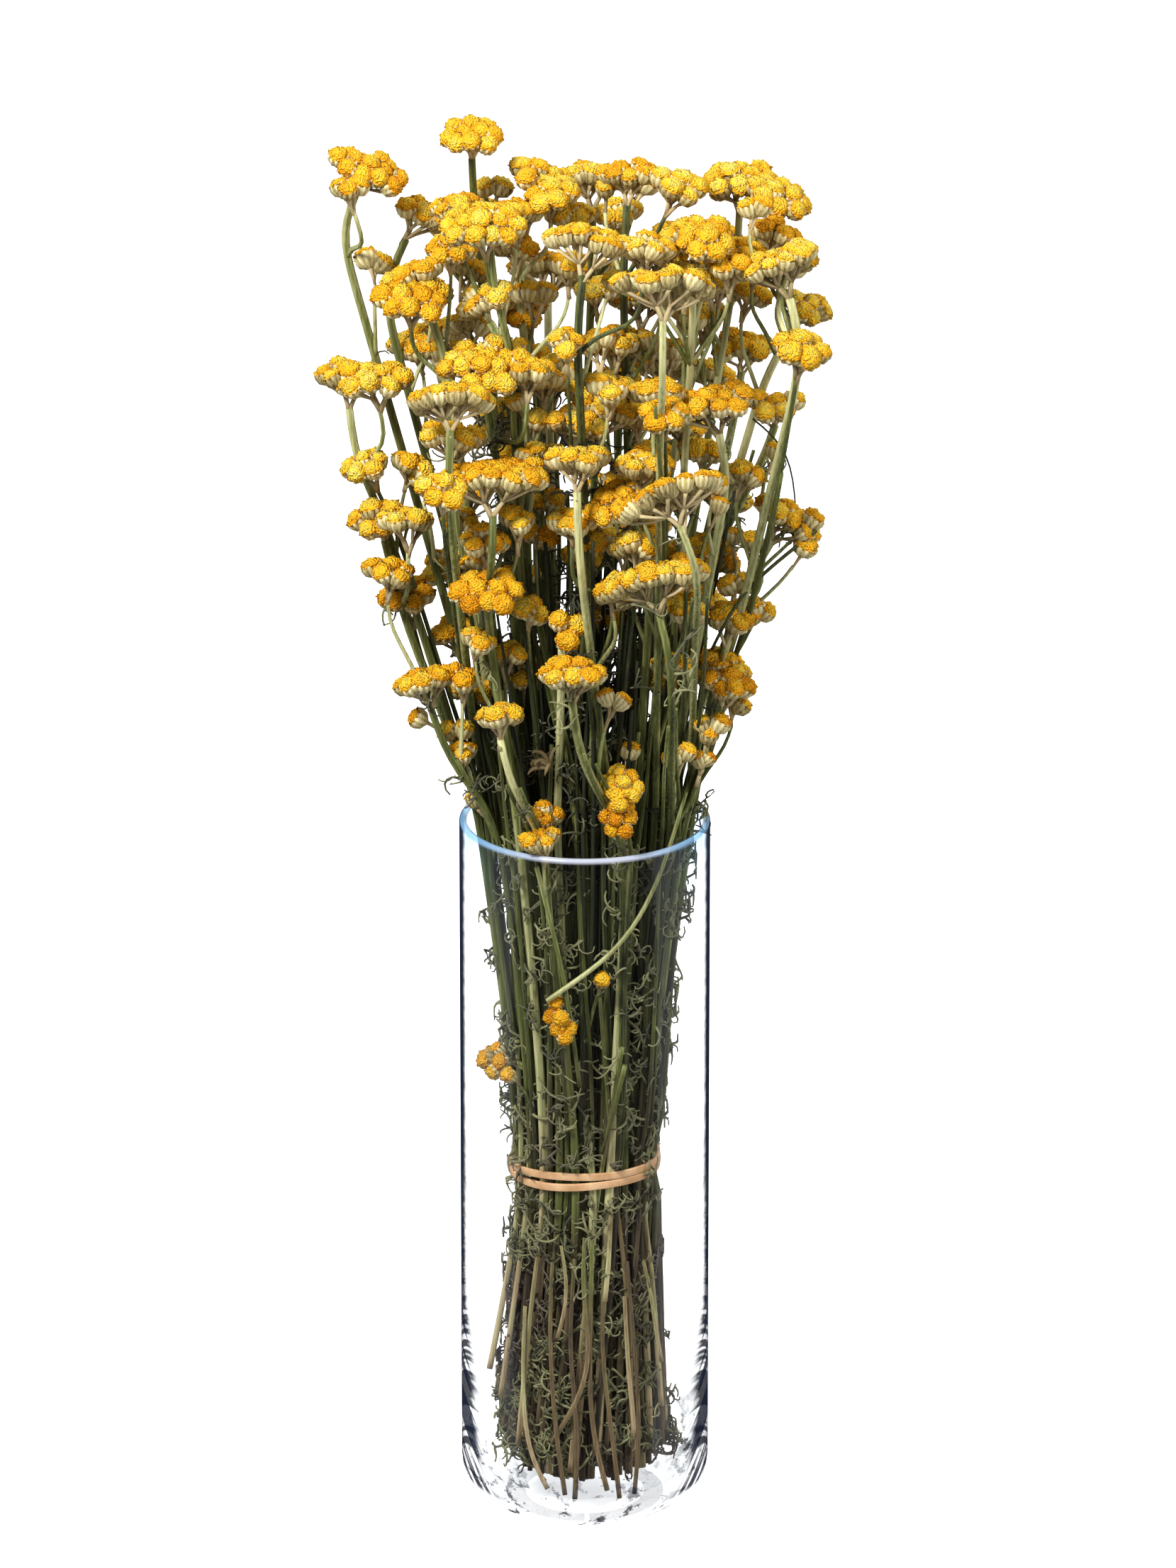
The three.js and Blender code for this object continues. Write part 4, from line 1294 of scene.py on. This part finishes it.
@dataclass
class Botanist:
    """Builds the plant's strands, buttons and leaves into thickets."""

    layout: Layout
    patterns: Patterns
    rng: random.Random = field(default_factory=lambda: random.Random(2024))
    cup_length: float = 6.0
    ray_radius: float = 0.62
    tie_room: float = 22.8
    flare: float = 0.17
    under_band: float = 21.0
    fuller: float = 1.16
    fuller_below: float = 505
    band_half: float = 6

    def strand(
        self,
        thicket: Thicket,
        path: Sequence[Vector],
        radii: Along,
        sides: int,
        glue: Glue,
        tone: Along,
        ribs: float = 1.0,
    ) -> None:
        """Adds a rod bent along a path.

        Args:
            thicket: What it is added to.
            path: Its way, in millimetres.
            radii: Its radius by its share of the way.
            sides: Its number of sides.
            glue: Its material.
            tone: Its tone by its share of the way.
            ribs: The radius of every other corner.
        """
        steps = len(path) - 1
        across = frames_along(path)

        def spot(corner: Vector) -> Vector:
            """Where a corner of the straight rod comes to lie."""
            i = min(steps, max(0, round(corner.z)))
            u, v = across[i]
            radius = radii(i / steps)
            return path[i] + u * (corner.x * radius) + v * (corner.y * radius)

        def shade(corner: Vector) -> float:
            """How light a corner is: painted light on the ribs and painted shade in the grooves between them.
            """
            rib = 0.0 if ribs == 1.0 else 0.1 if math.hypot(corner.x, corner.y) > 0.93 else -0.12
            return tone(corner.z / steps) + rib

        thicket.stamp(self.patterns.rod(sides, steps, ribs), spot, glue.value, shade)

    def stray(self, spread: float = 1) -> Vector:
        """A random vector whose parts are no longer than the spread."""
        return Vector([self.rng.uniform(-spread, spread) for _ in range(3)])

    def buttons(self, head: FlowerHead, pitch: float) -> list[Point]:
        """The buttons of a head.

        Args:
            head: The head.
            pitch: How far apart they stand.

        Returns:
            For each one: across, away and its share of the way out from the middle.
        """
        full = self.fuller if LOW_HEAD < head.middle[2] < self.fuller_below else 1.0
        a = max(head.width / 2 * full - pitch * 0.5, 1.5)
        b = max(head.depth / 2 * full - pitch * 0.4, 1.5)
        draw = self.rng.uniform
        best = honeycomb(pitch, a, b, (*CELL_STARTS, (0.75, 0.25)), BUTTON_LIMIT)
        return [(u + draw(-1, 1), v + draw(-1, 1), out) for u, v, out in best]

    def head(self, gold: Thicket, green: Thicket, head: FlowerHead, fork: Vector, down: Vector) -> None:
        """Adds one flower head: its florets to one thicket, its cups and rays to the other.

        Args:
            gold: The florets' thicket.
            green: The stems' thicket.
            head: The head.
            fork: Where its rays leave the stem.
            down: The way down the stem from there.
        """
        draw = self.rng.uniform
        axis = Vector(head.axis)
        age = self.rng.random() ** 1.4 * 0.8 + max(0.0, min(0.4, (500 - head.middle[2]) * 0.002))
        pitch = draw(5.0, 5.6) if head.middle[2] < LOW_HEAD else draw(6.1, 7.3)
        groups: dict[tuple[bool, bool], list[tuple[Vector, Vector]]] = {}
        steps = {(right, far): draw(-1.3, 1.3) for right in (False, True) for far in (False, True)}
        for u, v, out in self.buttons(head, pitch):
            quarter = (u > 0.4 * pitch, v > 0.2 * pitch)
            base = Vector(head.placed(u, v, 2.4 * (1 - out * out) + draw(-1.2, 1.2) + steps[quarter] - 0.8))
            outward = Vector(head.placed(u, v, 0)) - Vector(head.placed(0, 0, 0))
            lean = outward.normalized() * (0.55 * out) if outward.length > 0.1 else Vector()
            tip = (axis + lean + self.stray(0.26)).normalized()
            self.button(gold, green, base, tip, draw(0.9, 1.12) * pitch * 0.61, age)
            groups.setdefault(quarter, []).append((base - tip * (self.cup_length - 0.6), tip))
        pale = draw(0.3, 0.8)
        for ends in groups.values():
            centre = sum((end for end, _ in ends), Vector()) / len(ends)
            node = start = fork + down * draw(-1, 4)
            if len(ends) > 1:
                node = start.lerp(centre, 0.45) + axis * 1.0
                path = smooth_path([start, start.lerp(node, 0.5) + axis * 0.4, node], 3)
                self.strand(
                    green, path, lambda t: self.ray_radius * (1.6 - 0.3 * t), 6, Glue.RAY, lambda t: pale
                )
            for end, tip in ends:
                reach = (end - node).length
                halfway = node.lerp(end, 0.5) - tip * reach * 0.1 + axis * 0.4
                path = smooth_path([node, halfway, end], max(reach / 3, 1.5))
                tone = pale + draw(-0.3, 0.3)
                self.strand(
                    green, path, lambda t: self.ray_radius * (1 + 0.5 * t * t), 5, Glue.RAY, lambda t: tone
                )

    def button(
        self, gold: Thicket, green: Thicket, base: Vector, tip: Vector, radius: float, age: float
    ) -> None:
        """Adds one button: a fuzzy dome of florets in a pale cup.

        Args:
            gold: The florets' thicket.
            green: The cups' thicket.
            base: The middle of the dome's foot.
            tip: The way it points.
            radius: Its radius.
            age: How burnt its colour is, from 0 to 1.
        """
        draw = self.rng.uniform
        turn = tip.to_track_quat("Z", "Y").to_matrix() @ Matrix.Rotation(draw(0, 6.28), 3, "Z")
        tall = draw(0.5, 0.72)
        fresh = max(0.0, min(1.0, 0.95 - 0.55 * age + draw(-0.2, 0.2)))
        # The dome's tone is painted light: a painted highlight towards its top and painted shade towards its
        # foot.
        gold.stamp(
            self.rng.choice(self.patterns.domes),
            lambda corner: base + turn @ Vector((corner.x, corner.y, (corner.z + 0.15) * tall)) * radius,
            0,
            lambda corner: fresh * (0.5 + 0.5 * max(corner.z, 0)),
        )
        deep, wide = self.cup_length, radius * draw(0.92, 1.02)
        pale = draw(0.35, 1.0)

        def shade(corner: Vector) -> float:
            """How light a corner of the cup is: painted shade darkens the grooves between its ribs, and the
            foot is darker too.
            """
            rib = round(math.atan2(corner.y, corner.x) / (math.pi / CUP_RIBS)) % 2
            return pale * (0.4 if rib else 1.0) * (0.75 + 0.25 * (corner.z + 1))

        green.stamp(
            self.rng.choice(self.patterns.cups),
            lambda corner: base + turn @ Vector((corner.x * wide, corner.y * wide, corner.z * deep + 0.5)),
            Glue.CUP.value,
            shade,
        )

    def stem(self, green: Thicket, spray: int) -> list[Vector]:
        """Adds one spray's stem, with the side stem to a second head, and gives the stem's way.

        Args:
            green: What it is added to.
            spray: The spray's number.

        Returns:
            The stem's way.
        """
        path = self.layout.path(spray)
        stout = self.rng.uniform(0.85, 1.15)
        # Stems from the inner rings take the darker inner tone: painted shade.
        tone = self.stem_tone(self.layout.slots[spray].ring < 3)
        self.strand(green, path, lambda t: stout * (1.85 - 0.3 * t), 10, Glue.STEM, tone, 0.82)
        for head in self.layout.sprays[spray][1:]:
            neck, joint = Vector(head.neck(self.layout.neck)), self.layout.joint(spray, head)
            root = min(path, key=lambda p: (p - joint).length)
            after = path[min(path.index(root) + 1, len(path) - 1)]
            side = eased(smooth_path([root, after.lerp(neck, 0.25), neck, head.fork_point()], 5), 4)
            self.strand(green, side, lambda t: 1.15 - 0.15 * t, 8, Glue.STEM, lambda t: tone(1.0), 0.84)
        return path

    def stem_tone(self, inner: bool = False) -> Along:
        """How light a stem is along its way.

        Args:
            inner: Whether it stands in the middle of the bunch, where it is darkened as painted shade.

        Returns:
            The tone by the share of the way from its foot to its fork.
        """
        draw, chance = self.rng.uniform, self.rng.random
        lower = draw(0.5, 0.95) if chance() < 0.3 else draw(0.05, 0.4)
        upper = draw(0.7, 1.0) if chance() < 0.22 else draw(0.25, 0.6)
        # Painted shade: stems in the middle of the bunch are made darker.
        if inner:
            lower, upper = lower * 0.25, upper * 0.75
        return lambda t: lower + (upper - lower) * t * t

    def shoot(self, gold: Thicket, green: Thicket, head: FlowerHead, host: Sequence[Vector]) -> None:
        """Adds a small head on a side stem.

        Args:
            gold: The florets' thicket.
            green: The stems' thicket.
            head: The small head.
            host: The stem from which it grows.
        """
        fork, neck, aim = head.fork_point(), Vector(head.neck(SIDE_NECK)), head.aim
        root = min(host, key=lambda p: (p - aim).length)
        path = eased(smooth_path([root, (root + neck) / 2 + Vector((0, 0, 3)), neck, fork], 5), 5)
        tone = self.stem_tone()
        self.strand(green, path, lambda t: 1.0 - 0.25 * t, 6, Glue.STEM, lambda t: tone(0.8), 0.85)
        self.head(gold, green, head, fork, (neck - fork).normalized())

    def twin(self, green: Thicket, host: Sequence[Vector], top: float) -> list[Vector]:
        """Adds a stem that runs beside another one.

        Args:
            green: What it is added to.
            host: The other stem's way.
            top: The height at which it ends.

        Returns:
            Its way.
        """
        turn, gap = self.rng.uniform(0, 2 * math.pi), self.rng.uniform(2.8, 4.2)
        points = []
        for i, p in enumerate(host):
            if p.z > top:
                break
            swing = turn + 0.9 * math.sin(i * 0.16 + turn)
            near = p + Vector((math.cos(swing), math.sin(swing), 0)) * gap
            tied = math.hypot(near.x / self.layout.stretch, near.y)
            room = self.tie_room + abs(near.z - self.layout.tie) * self.flare
            if near.z < self.layout.rim and tied > room:
                near.x, near.y = near.x * room / tied, near.y * room / tied
            points.append(near)
        # Twin stems take the darker inner tone: painted shade.
        stout, tone = self.rng.uniform(0.75, 1.0), self.stem_tone(True)
        self.strand(green, points, lambda t: stout * (1.6 - 0.5 * t), 8, Glue.STEM, tone, 0.82)
        return points

    def sprig(self, green: Thicket, root: Vector, reach: float, tone: float) -> None:
        """Adds a shrivelled leaf: a curled thread with smaller curled lobes.

        Args:
            green: What it is added to.
            root: Where it leaves its stem.
            reach: How far from the vase's axis it may come.
            tone: How light it is.
        """
        draw = self.rng.uniform
        out = Vector((root.x, root.y, 0)).normalized()
        turn = Matrix.Rotation(draw(-1.6, 1.6), 3, "Z")
        heading = (turn @ out + Vector((0, 0, draw(-0.8, 1.6)))).normalized()
        spine = self.curl(root, heading, draw(9, 20), draw(0.02, 0.16), reach, 7)
        self.strand(green, spine, lambda t: 0.75 - 0.38 * t, 4, Glue.LEAF, lambda t: tone)
        for _ in range(self.rng.randint(3, 7)):
            start = self.rng.choice(spine[1:-1])
            lobe = self.curl(start, self.stray().normalized(), draw(4, 12), draw(0.1, 0.4), reach, 5)
            self.strand(green, lobe, lambda t: 0.55 - 0.24 * t, 3, Glue.LEAF, lambda t: tone + 0.2 * t)

    def clump(self, green: Thicket, root: Vector) -> None:
        """Adds a clump of broad brown shrivelled blades.

        Args:
            green: What it is added to.
            root: Where it hangs.
        """
        draw = self.rng.uniform
        for _ in range(7):
            heading = Vector([draw(-0.6, 0.6), draw(-0.5, 0.3), draw(0.2, 1)]).normalized()
            way = self.curl(root, heading, draw(7, 14), draw(0.05, 0.25), 60, 8)
            tone = draw(-0.1, 0.1)
            self.strand(
                green, way, lambda t: math.sin(math.pi * (0.12 + 0.8 * t)), 4, Glue.RAY, lambda t: tone
            )

    def curl(
        self, start: Vector, heading: Vector, length: float, bend: float, reach: float, steps: int
    ) -> list[Vector]:
        """The way of a thread that curls ever more tightly.

        Args:
            start: Where it starts.
            heading: The way it sets out.
            length: Its length.
            bend: How sharply it turns, in radians per millimetre.
            reach: How far from the axis it may come.
            steps: How many straight lengths it has.

        Returns:
            Its points.
        """
        step = length / steps
        pivot = heading.cross(self.stray()).normalized()
        path = [start.copy()]
        for i in range(steps):
            heading = Quaternion(pivot, bend * step * (0.5 + 1.6 * i / steps)) @ heading
            point = path[-1] + heading * step
            flat = math.hypot(point.x, point.y)
            over_band = abs(point.z - self.layout.tie) < self.band_half and abs(point.x) < self.under_band
            limit = min(reach, self.under_band) if over_band else reach
            if flat > limit:
                point.x *= limit / flat
                point.y *= limit / flat
            point.z = max(point.z, self.layout.vase_floor + 1)
            path.append(point)
        return path


@dataclass
class Bunch:
    """The whole tied bunch: six groups of stems and the florets of every spray."""

    botanist: Botanist
    finishes: list[bpy.types.Material]
    gold_finish: bpy.types.Material
    sprigs_inside: int = 1050
    sprigs_above: int = 380
    shade_stems: int = 80
    mouth: float = 292
    inside: float = 44.5
    outside: float = 84
    twin_tries: int = 12
    twin_room: float = 13
    near_height: float = 14
    greens: list[Thicket] = field(default_factory=list)
    golds: list[Thicket] = field(default_factory=list)
    ways: list[list[Vector]] = field(default_factory=list)
    taken: list[Vector] = field(default_factory=list)

    def build(self) -> None:
        """Makes every piece of the bunch and puts it in the place of its solid."""
        layout = self.botanist.layout
        self.greens = [Thicket(f"stem_group_{i + 1}") for i in range(6)]
        for spray, heads in enumerate(layout.sprays):
            green, gold = self.green_of(spray), Thicket(f"florets_{spray + 1:02d}")
            self.ways.append(self.botanist.stem(green, spray))
            self.golds.append(gold)
            for head in heads:
                fork = head.fork_point(0.82)
                down = (Vector(head.neck(layout.neck)) - fork).normalized()
                self.botanist.head(gold, green, head, fork, down)
                self.taken.append(Vector(head.middle))
        for add in (self.shoots, self.twins, self.loose, self.depth, self.clumps, self.leaves):
            add()
        for i, gold in enumerate(self.golds):
            seat(gold.piece(self.gold_finish), f"heads_{i + 1:02d}")
        for i, green in enumerate(self.greens):
            seat(green.piece(*self.finishes), f"stems_{i + 1}")

    def green_of(self, spray: int) -> Thicket:
        """The group of stems to which a spray belongs."""
        return self.greens[self.botanist.layout.sector(spray)]

    def nearest(self, point: Vector) -> int:
        """The spray whose stem passes nearest to a point."""
        return min(range(len(self.ways)), key=lambda i: min((p - point).length for p in self.ways[i]))

    def shoots(self) -> None:
        """Adds the listed small heads, each on the nearest stem."""
        for row in SHOOTS:
            head = FlowerHead.from_row(row)
            spray = self.nearest(head.aim)
            self.botanist.shoot(self.golds[spray], self.green_of(spray), head, self.ways[spray])
            self.taken.append(Vector(head.middle))

    def twins(self) -> None:
        """Adds two stems beside most stems, and a small head to the first one where there is room for it."""
        rng = self.botanist.rng
        for turn, (spray, way) in enumerate([pair for pair in enumerate(self.ways) for _ in range(2)]):
            if way[-1].z < LOW_HEAD:
                continue
            best, room = way[-1].z - 60, 0.0
            for _ in range(self.twin_tries):
                top = rng.uniform(LOW_HEAD, way[-1].z - 22)
                at = min(way, key=lambda p: abs(p.z - top)) + Vector((0, 0, 16))
                free = min((at - other).length for other in self.taken)
                if free > room:
                    best, room = top, free
            path = self.botanist.twin(self.green_of(spray), way, best)
            low_in_front = path[-1].y < -22 and path[-1].z < 440
            if room < self.twin_room or len(path) < 4 or turn % 2 or low_in_front:
                continue
            up = (path[-1] - path[-3]).normalized()
            width = min(20.0, room)
            middle = path[-1] + up * (9 + width * 0.28)
            head = FlowerHead.from_row((*middle, width, width * 0.8, up.x / up.z, up.y / up.z))
            self.botanist.head(self.golds[spray], self.green_of(spray), head, path[-1], -up)
            self.taken.append(middle)

    def loose(self) -> None:
        """Adds the loose and broken stems to the nearest groups."""
        for tone, radius, points in LOOSE:
            path = eased(smooth_path([Vector(p) for p in points], 5), 8)
            green = self.green_of(self.nearest(path[len(path) // 2]))
            self.botanist.strand(
                green,
                path,
                lambda t: radius * (1 - 0.2 * t),
                8,
                Glue.STEM,
                lambda t: tone * (1 - 0.35 * t),
                0.84,
            )

    def depth(self) -> None:
        """Fills the depth of the bunch with thin stems whose dark tone is painted shade."""
        rng, high = self.botanist.rng, self.mouth
        draw = rng.uniform
        for _ in range(self.shade_stems):
            turn, out = draw(0, 2 * math.pi), math.sqrt(rng.random())
            way = Vector((math.cos(turn) * 1.1, math.sin(turn), 0)) * out
            top = draw(LOW_HEAD, 440)
            foot = way * 25 + Vector((draw(-5, 5), draw(-5, 5), draw(18, 50)))
            mouth = way * 34 + Vector((draw(-3, 3), draw(-3, 3), high))
            tie = way * 16 + Vector((0, 0, self.botanist.layout.tie))
            path = smooth_path([foot, tie, mouth, way * (34 + (top - high) * 0.16) + Vector((0, 0, top))], 14)
            # Painted shade: these stems get low, dark tones.
            thick, tone = draw(0.9, 1.5), draw(-0.4, 0.1)
            green = self.green_of(self.nearest(mouth))
            self.botanist.strand(green, path, lambda t: thick * (1.1 - 0.5 * t), 5, Glue.STEM, lambda t: tone)

    def clumps(self) -> None:
        """Adds the brown clumps above the vase's mouth."""
        for root in (Vector((-14, -39, 326)), Vector((-6, 44, 322))):
            self.botanist.clump(self.green_of(self.nearest(root)), root)

    def leaves(self) -> None:
        """Hangs shrivelled leaves on the stems: pale ones outside, and dark ones in the depth of the bunch,
        where their dark tone is painted shade.
        """
        rng, whole = self.botanist.rng, 2 * math.pi
        patches = []
        sown = ((40, (0, whole), (25, 130)), (18, (3.7, 5.8), (22, 130)), (22, (0, whole), (150, 285)))
        for count, facings, heights in sown:
            patches += [(rng.uniform(*facings), rng.uniform(*heights)) for _ in range(count)]
        patches += [(-0.2 - turn * 0.3, high) for turn in range(5) for high in (172, 218, 262)]
        patches += [(turn * 0.7, 156) for turn in range(9)] + [(4.3, 178), (3.9, 196), (3.6, 168)]
        for i in range(self.sprigs_inside + self.sprigs_above):
            inside = i < self.sprigs_inside
            high = rng.uniform(14, 294) if inside else 288 + 190 * rng.random() ** 1.4
            facing = rng.uniform(0, whole)
            if inside and i % 4:
                facing, high = rng.choice(patches)
                facing, high = rng.gauss(facing, 0.3), max(14.0, min(294.0, rng.gauss(high, 12)))
            picks = rng.sample(range(len(self.ways)), 14 if inside else 8)
            roots = [(spray, min(self.ways[spray], key=lambda p: abs(p.z - high))) for spray in picks]
            roots = [(spray, p) for spray, p in roots if abs(p.z - high) < self.near_height]
            if not roots:
                continue
            outer = bool(i % 6) if inside else not i % 5
            side = Vector((math.cos(facing), math.sin(facing), 0)) * (1 if outer else 0)
            spray, root = max(roots, key=lambda pair: pair[1].dot(side) if outer else -pair[1].xy.length)
            flat = math.hypot(root.x, root.y)
            near, far = (self.inside, rng.uniform(1, 7)) if inside else (self.outside, 9 if outer else 14)
            reach = min(near, flat + far)
            # Leaves nearest the middle of the bunch get dark tones: painted shade.
            tone = rng.uniform(0.15, 1.0) if outer else rng.uniform(0.0, 0.3)
            self.botanist.sprig(self.green_of(spray), root, reach, tone)


@dataclass
class Vase:
    """The tall cylinder of clear glass."""

    radius: float = 50
    height: float = 292
    wall: float = 3
    floor: float = 11
    heel: float = 18
    sides: int = 96

    def profile(self) -> list[tuple[float, float]]:
        """The outline of its wall from the axis under the foot round to the axis over the floor."""
        inner, bend, edge = self.radius - self.wall, self.heel - self.wall, self.wall / 2
        points = [(0.0, 0.6), (self.radius - self.heel - 8, 0.0)]
        for angle in (i / 8 * math.pi / 2 for i in range(9)):
            across, up = self.heel * math.sin(angle), self.heel * math.cos(angle)
            points.append((self.radius - self.heel + across, self.heel - up))
        points += [(self.radius, z) for z in (60, 120, 180, 240)]
        for angle in (i / 8 * math.pi for i in range(9)):
            across, up = edge * math.cos(angle), edge * math.sin(angle)
            points.append((self.radius - edge + across, self.height - edge + up))
        points += [(inner, z) for z in (240, 180, 120, 60)]
        for angle in ((1 - i / 6) * math.pi / 2 for i in range(7)):
            points.append((inner - bend + bend * math.sin(angle), self.floor + bend - bend * math.cos(angle)))
        return [*points, (0.0, self.floor)]

    def build(self, finish: bpy.types.Material) -> None:
        """Spins the outline round the axis and makes the vase.

        Args:
            finish: Its material.
        """
        bm = bmesh.new()
        corners = [bm.verts.new((r * MM, 0, z * MM)) for r, z in self.profile()]
        edges = [bm.edges.new(pair) for pair in zip(corners, corners[1:])]
        spin_round(bm, corners + edges, self.sides)
        bmesh.ops.remove_doubles(bm, verts=bm.verts, dist=1e-6)
        seat(smooth_object(bm, "glass_vase", finish), "vase")


@dataclass
class RubberBand:
    """A rubber band wound twice round the stems."""

    inner: float = 24.6
    stretch: float = 1.18
    thick: float = 1.15
    wide: float = 3.1
    height: float = 145
    steps: int = 96

    def build(self, finish: bpy.types.Material) -> None:
        """Makes both turns as one piece.

        Args:
            finish: Its material.
        """
        bm = bmesh.new()
        for side in (-1, 1):
            self.turn(bm, side)
        seat(smooth_object(bm, "double_band", finish), "rubber_band")

    def turn(self, bm: bmesh.types.BMesh, side: int) -> None:
        """Adds one turn of the band.

        Args:
            bm: The mesh to add it to.
            side: -1 for the lower turn, 1 for the upper one.
        """
        half = self.wide / 2
        shape = [(0.0, -half), (self.thick, -half), (self.thick, half), (0.0, half)]
        corners = [bm.verts.new((self.inner + r, 0, z)) for r, z in shape]
        for pair in zip(corners, corners[1:] + corners[:1]):
            bm.edges.new(pair)
        rounding = {"offset": 0.32, "affect": "VERTICES", "segments": 3, "profile": 0.5, "material": -1}
        bmesh.ops.bevel(bm, geom=corners, **rounding)
        bare = [edge for edge in bm.edges if not edge.link_faces]
        loop = [edge for edge in bare if all(abs(vert.co.y) < 1e-6 for vert in edge.verts)]
        spin_round(bm, list({vert for edge in loop for vert in edge.verts}) + loop, self.steps)
        for vert in [v for v in bm.verts if v.co.length > 1]:
            x, y, z = vert.co
            front = max(0.0, -(y + 0.4 * x) / self.inner)
            lift = side * (half + 0.05 + 0.5 * front) + 0.05 * x
            wave = 0.35 * math.sin(3 * math.atan2(y, x) + side)
            vert.co = Vector((x * self.stretch, y, self.height + z + lift + wave)) * MM


@dataclass
class Studio:
    """The pale floor, the soft lights and the camera."""

    lens: float = 242.6
    elevation: float = 20
    distance: float = 4200
    look: Point = (1.3, 0, 305.7)

    def build(self) -> None:
        """Makes everything that isn't the object."""
        self.floor()
        self.world()
        self.lamp("key_light", (-800, -1100, 1700), 450, 50)
        self.lamp("fill_light", (1400, -700, 1000), 1100, 13)
        self.lamp("back_light", (300, 1300, 1500), 900, 12)
        self.camera()
        bpy.context.scene.view_settings.view_transform = "Standard"

    @staticmethod
    def floor() -> None:
        """A wide white floor."""
        bm = bmesh.new()
        bmesh.ops.create_grid(bm, x_segments=1, y_segments=1, size=25)
        shop = Shop("white_paper")
        soft = shop.spread(shop.noise(3, 2), 0.3, 0.7, 0.93, 0.95)
        tint = shop.out(shop.node("CombineColor", in_0=soft, in_1=soft, in_2=soft))
        paper = shop.plain(tint, 0.9, Emission_Strength=0.7, Emission_Color=(1.0, 1.0, 1.0, 1.0))
        made = linked("white_floor", kept_mesh(bm, "white_floor", paper))
        made.visible_diffuse = False
        made.visible_glossy = False

    @staticmethod
    def world() -> None:
        """A plain white surrounding light."""
        world = bpy.data.worlds.new("white_room")
        world.use_nodes = True
        colour, strength = world.node_tree.nodes["Background"].inputs[:2]
        colour.default_value = (1.0, 1.0, 1.0, 1.0)
        strength.default_value = 0.46
        bpy.context.scene.world = world

    @staticmethod
    def lamp(name: str, place: Point, size: float, power: float) -> None:
        """A large soft light that faces the bunch.

        Args:
            name: Its name.
            place: Where it hangs.
            size: Its width.
            power: Its strength in watts.
        """
        data = bpy.data.lights.new(name, "AREA")
        data.size = size * MM
        data.energy = power
        made = linked(name, data)
        made.location = Vector(place) * MM
        made.rotation_euler = (Vector((0, 0, 350)) - Vector(place)).to_track_quat("-Z", "Y").to_euler()

    def camera(self) -> None:
        """A long lens a little above the bunch."""
        data = bpy.data.cameras.new("long_lens")
        data.lens = self.lens
        data.sensor_width = 36
        data.clip_end = 50
        made = linked("long_lens", data)
        rise = math.radians(self.elevation)
        back = Vector((0, -math.cos(rise), math.sin(rise)))
        made.location = (Vector(self.look) + back * self.distance) * MM
        made.rotation_euler = (-back).to_track_quat("-Z", "Y").to_euler()
        bpy.context.scene.camera = made


def main() -> None:
    """Loads the solids and dresses them."""
    logging.basicConfig(level=logging.INFO, format="%(message)s")
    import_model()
    Studio().build()
    layout = Layout()
    layout.solve()
    patterns = Patterns()
    patterns.grow()
    botanist = Botanist(layout, patterns)
    plant = [StemFinish().material(), RayFinish().material(), CupFinish().material(), LeafFinish().material()]
    Bunch(botanist, plant, FloretFinish().material()).build()
    RubberBand().build(RubberFinish().material())
    Vase().build(GlassFinish().material())


if __name__ == "__main__":
    main()
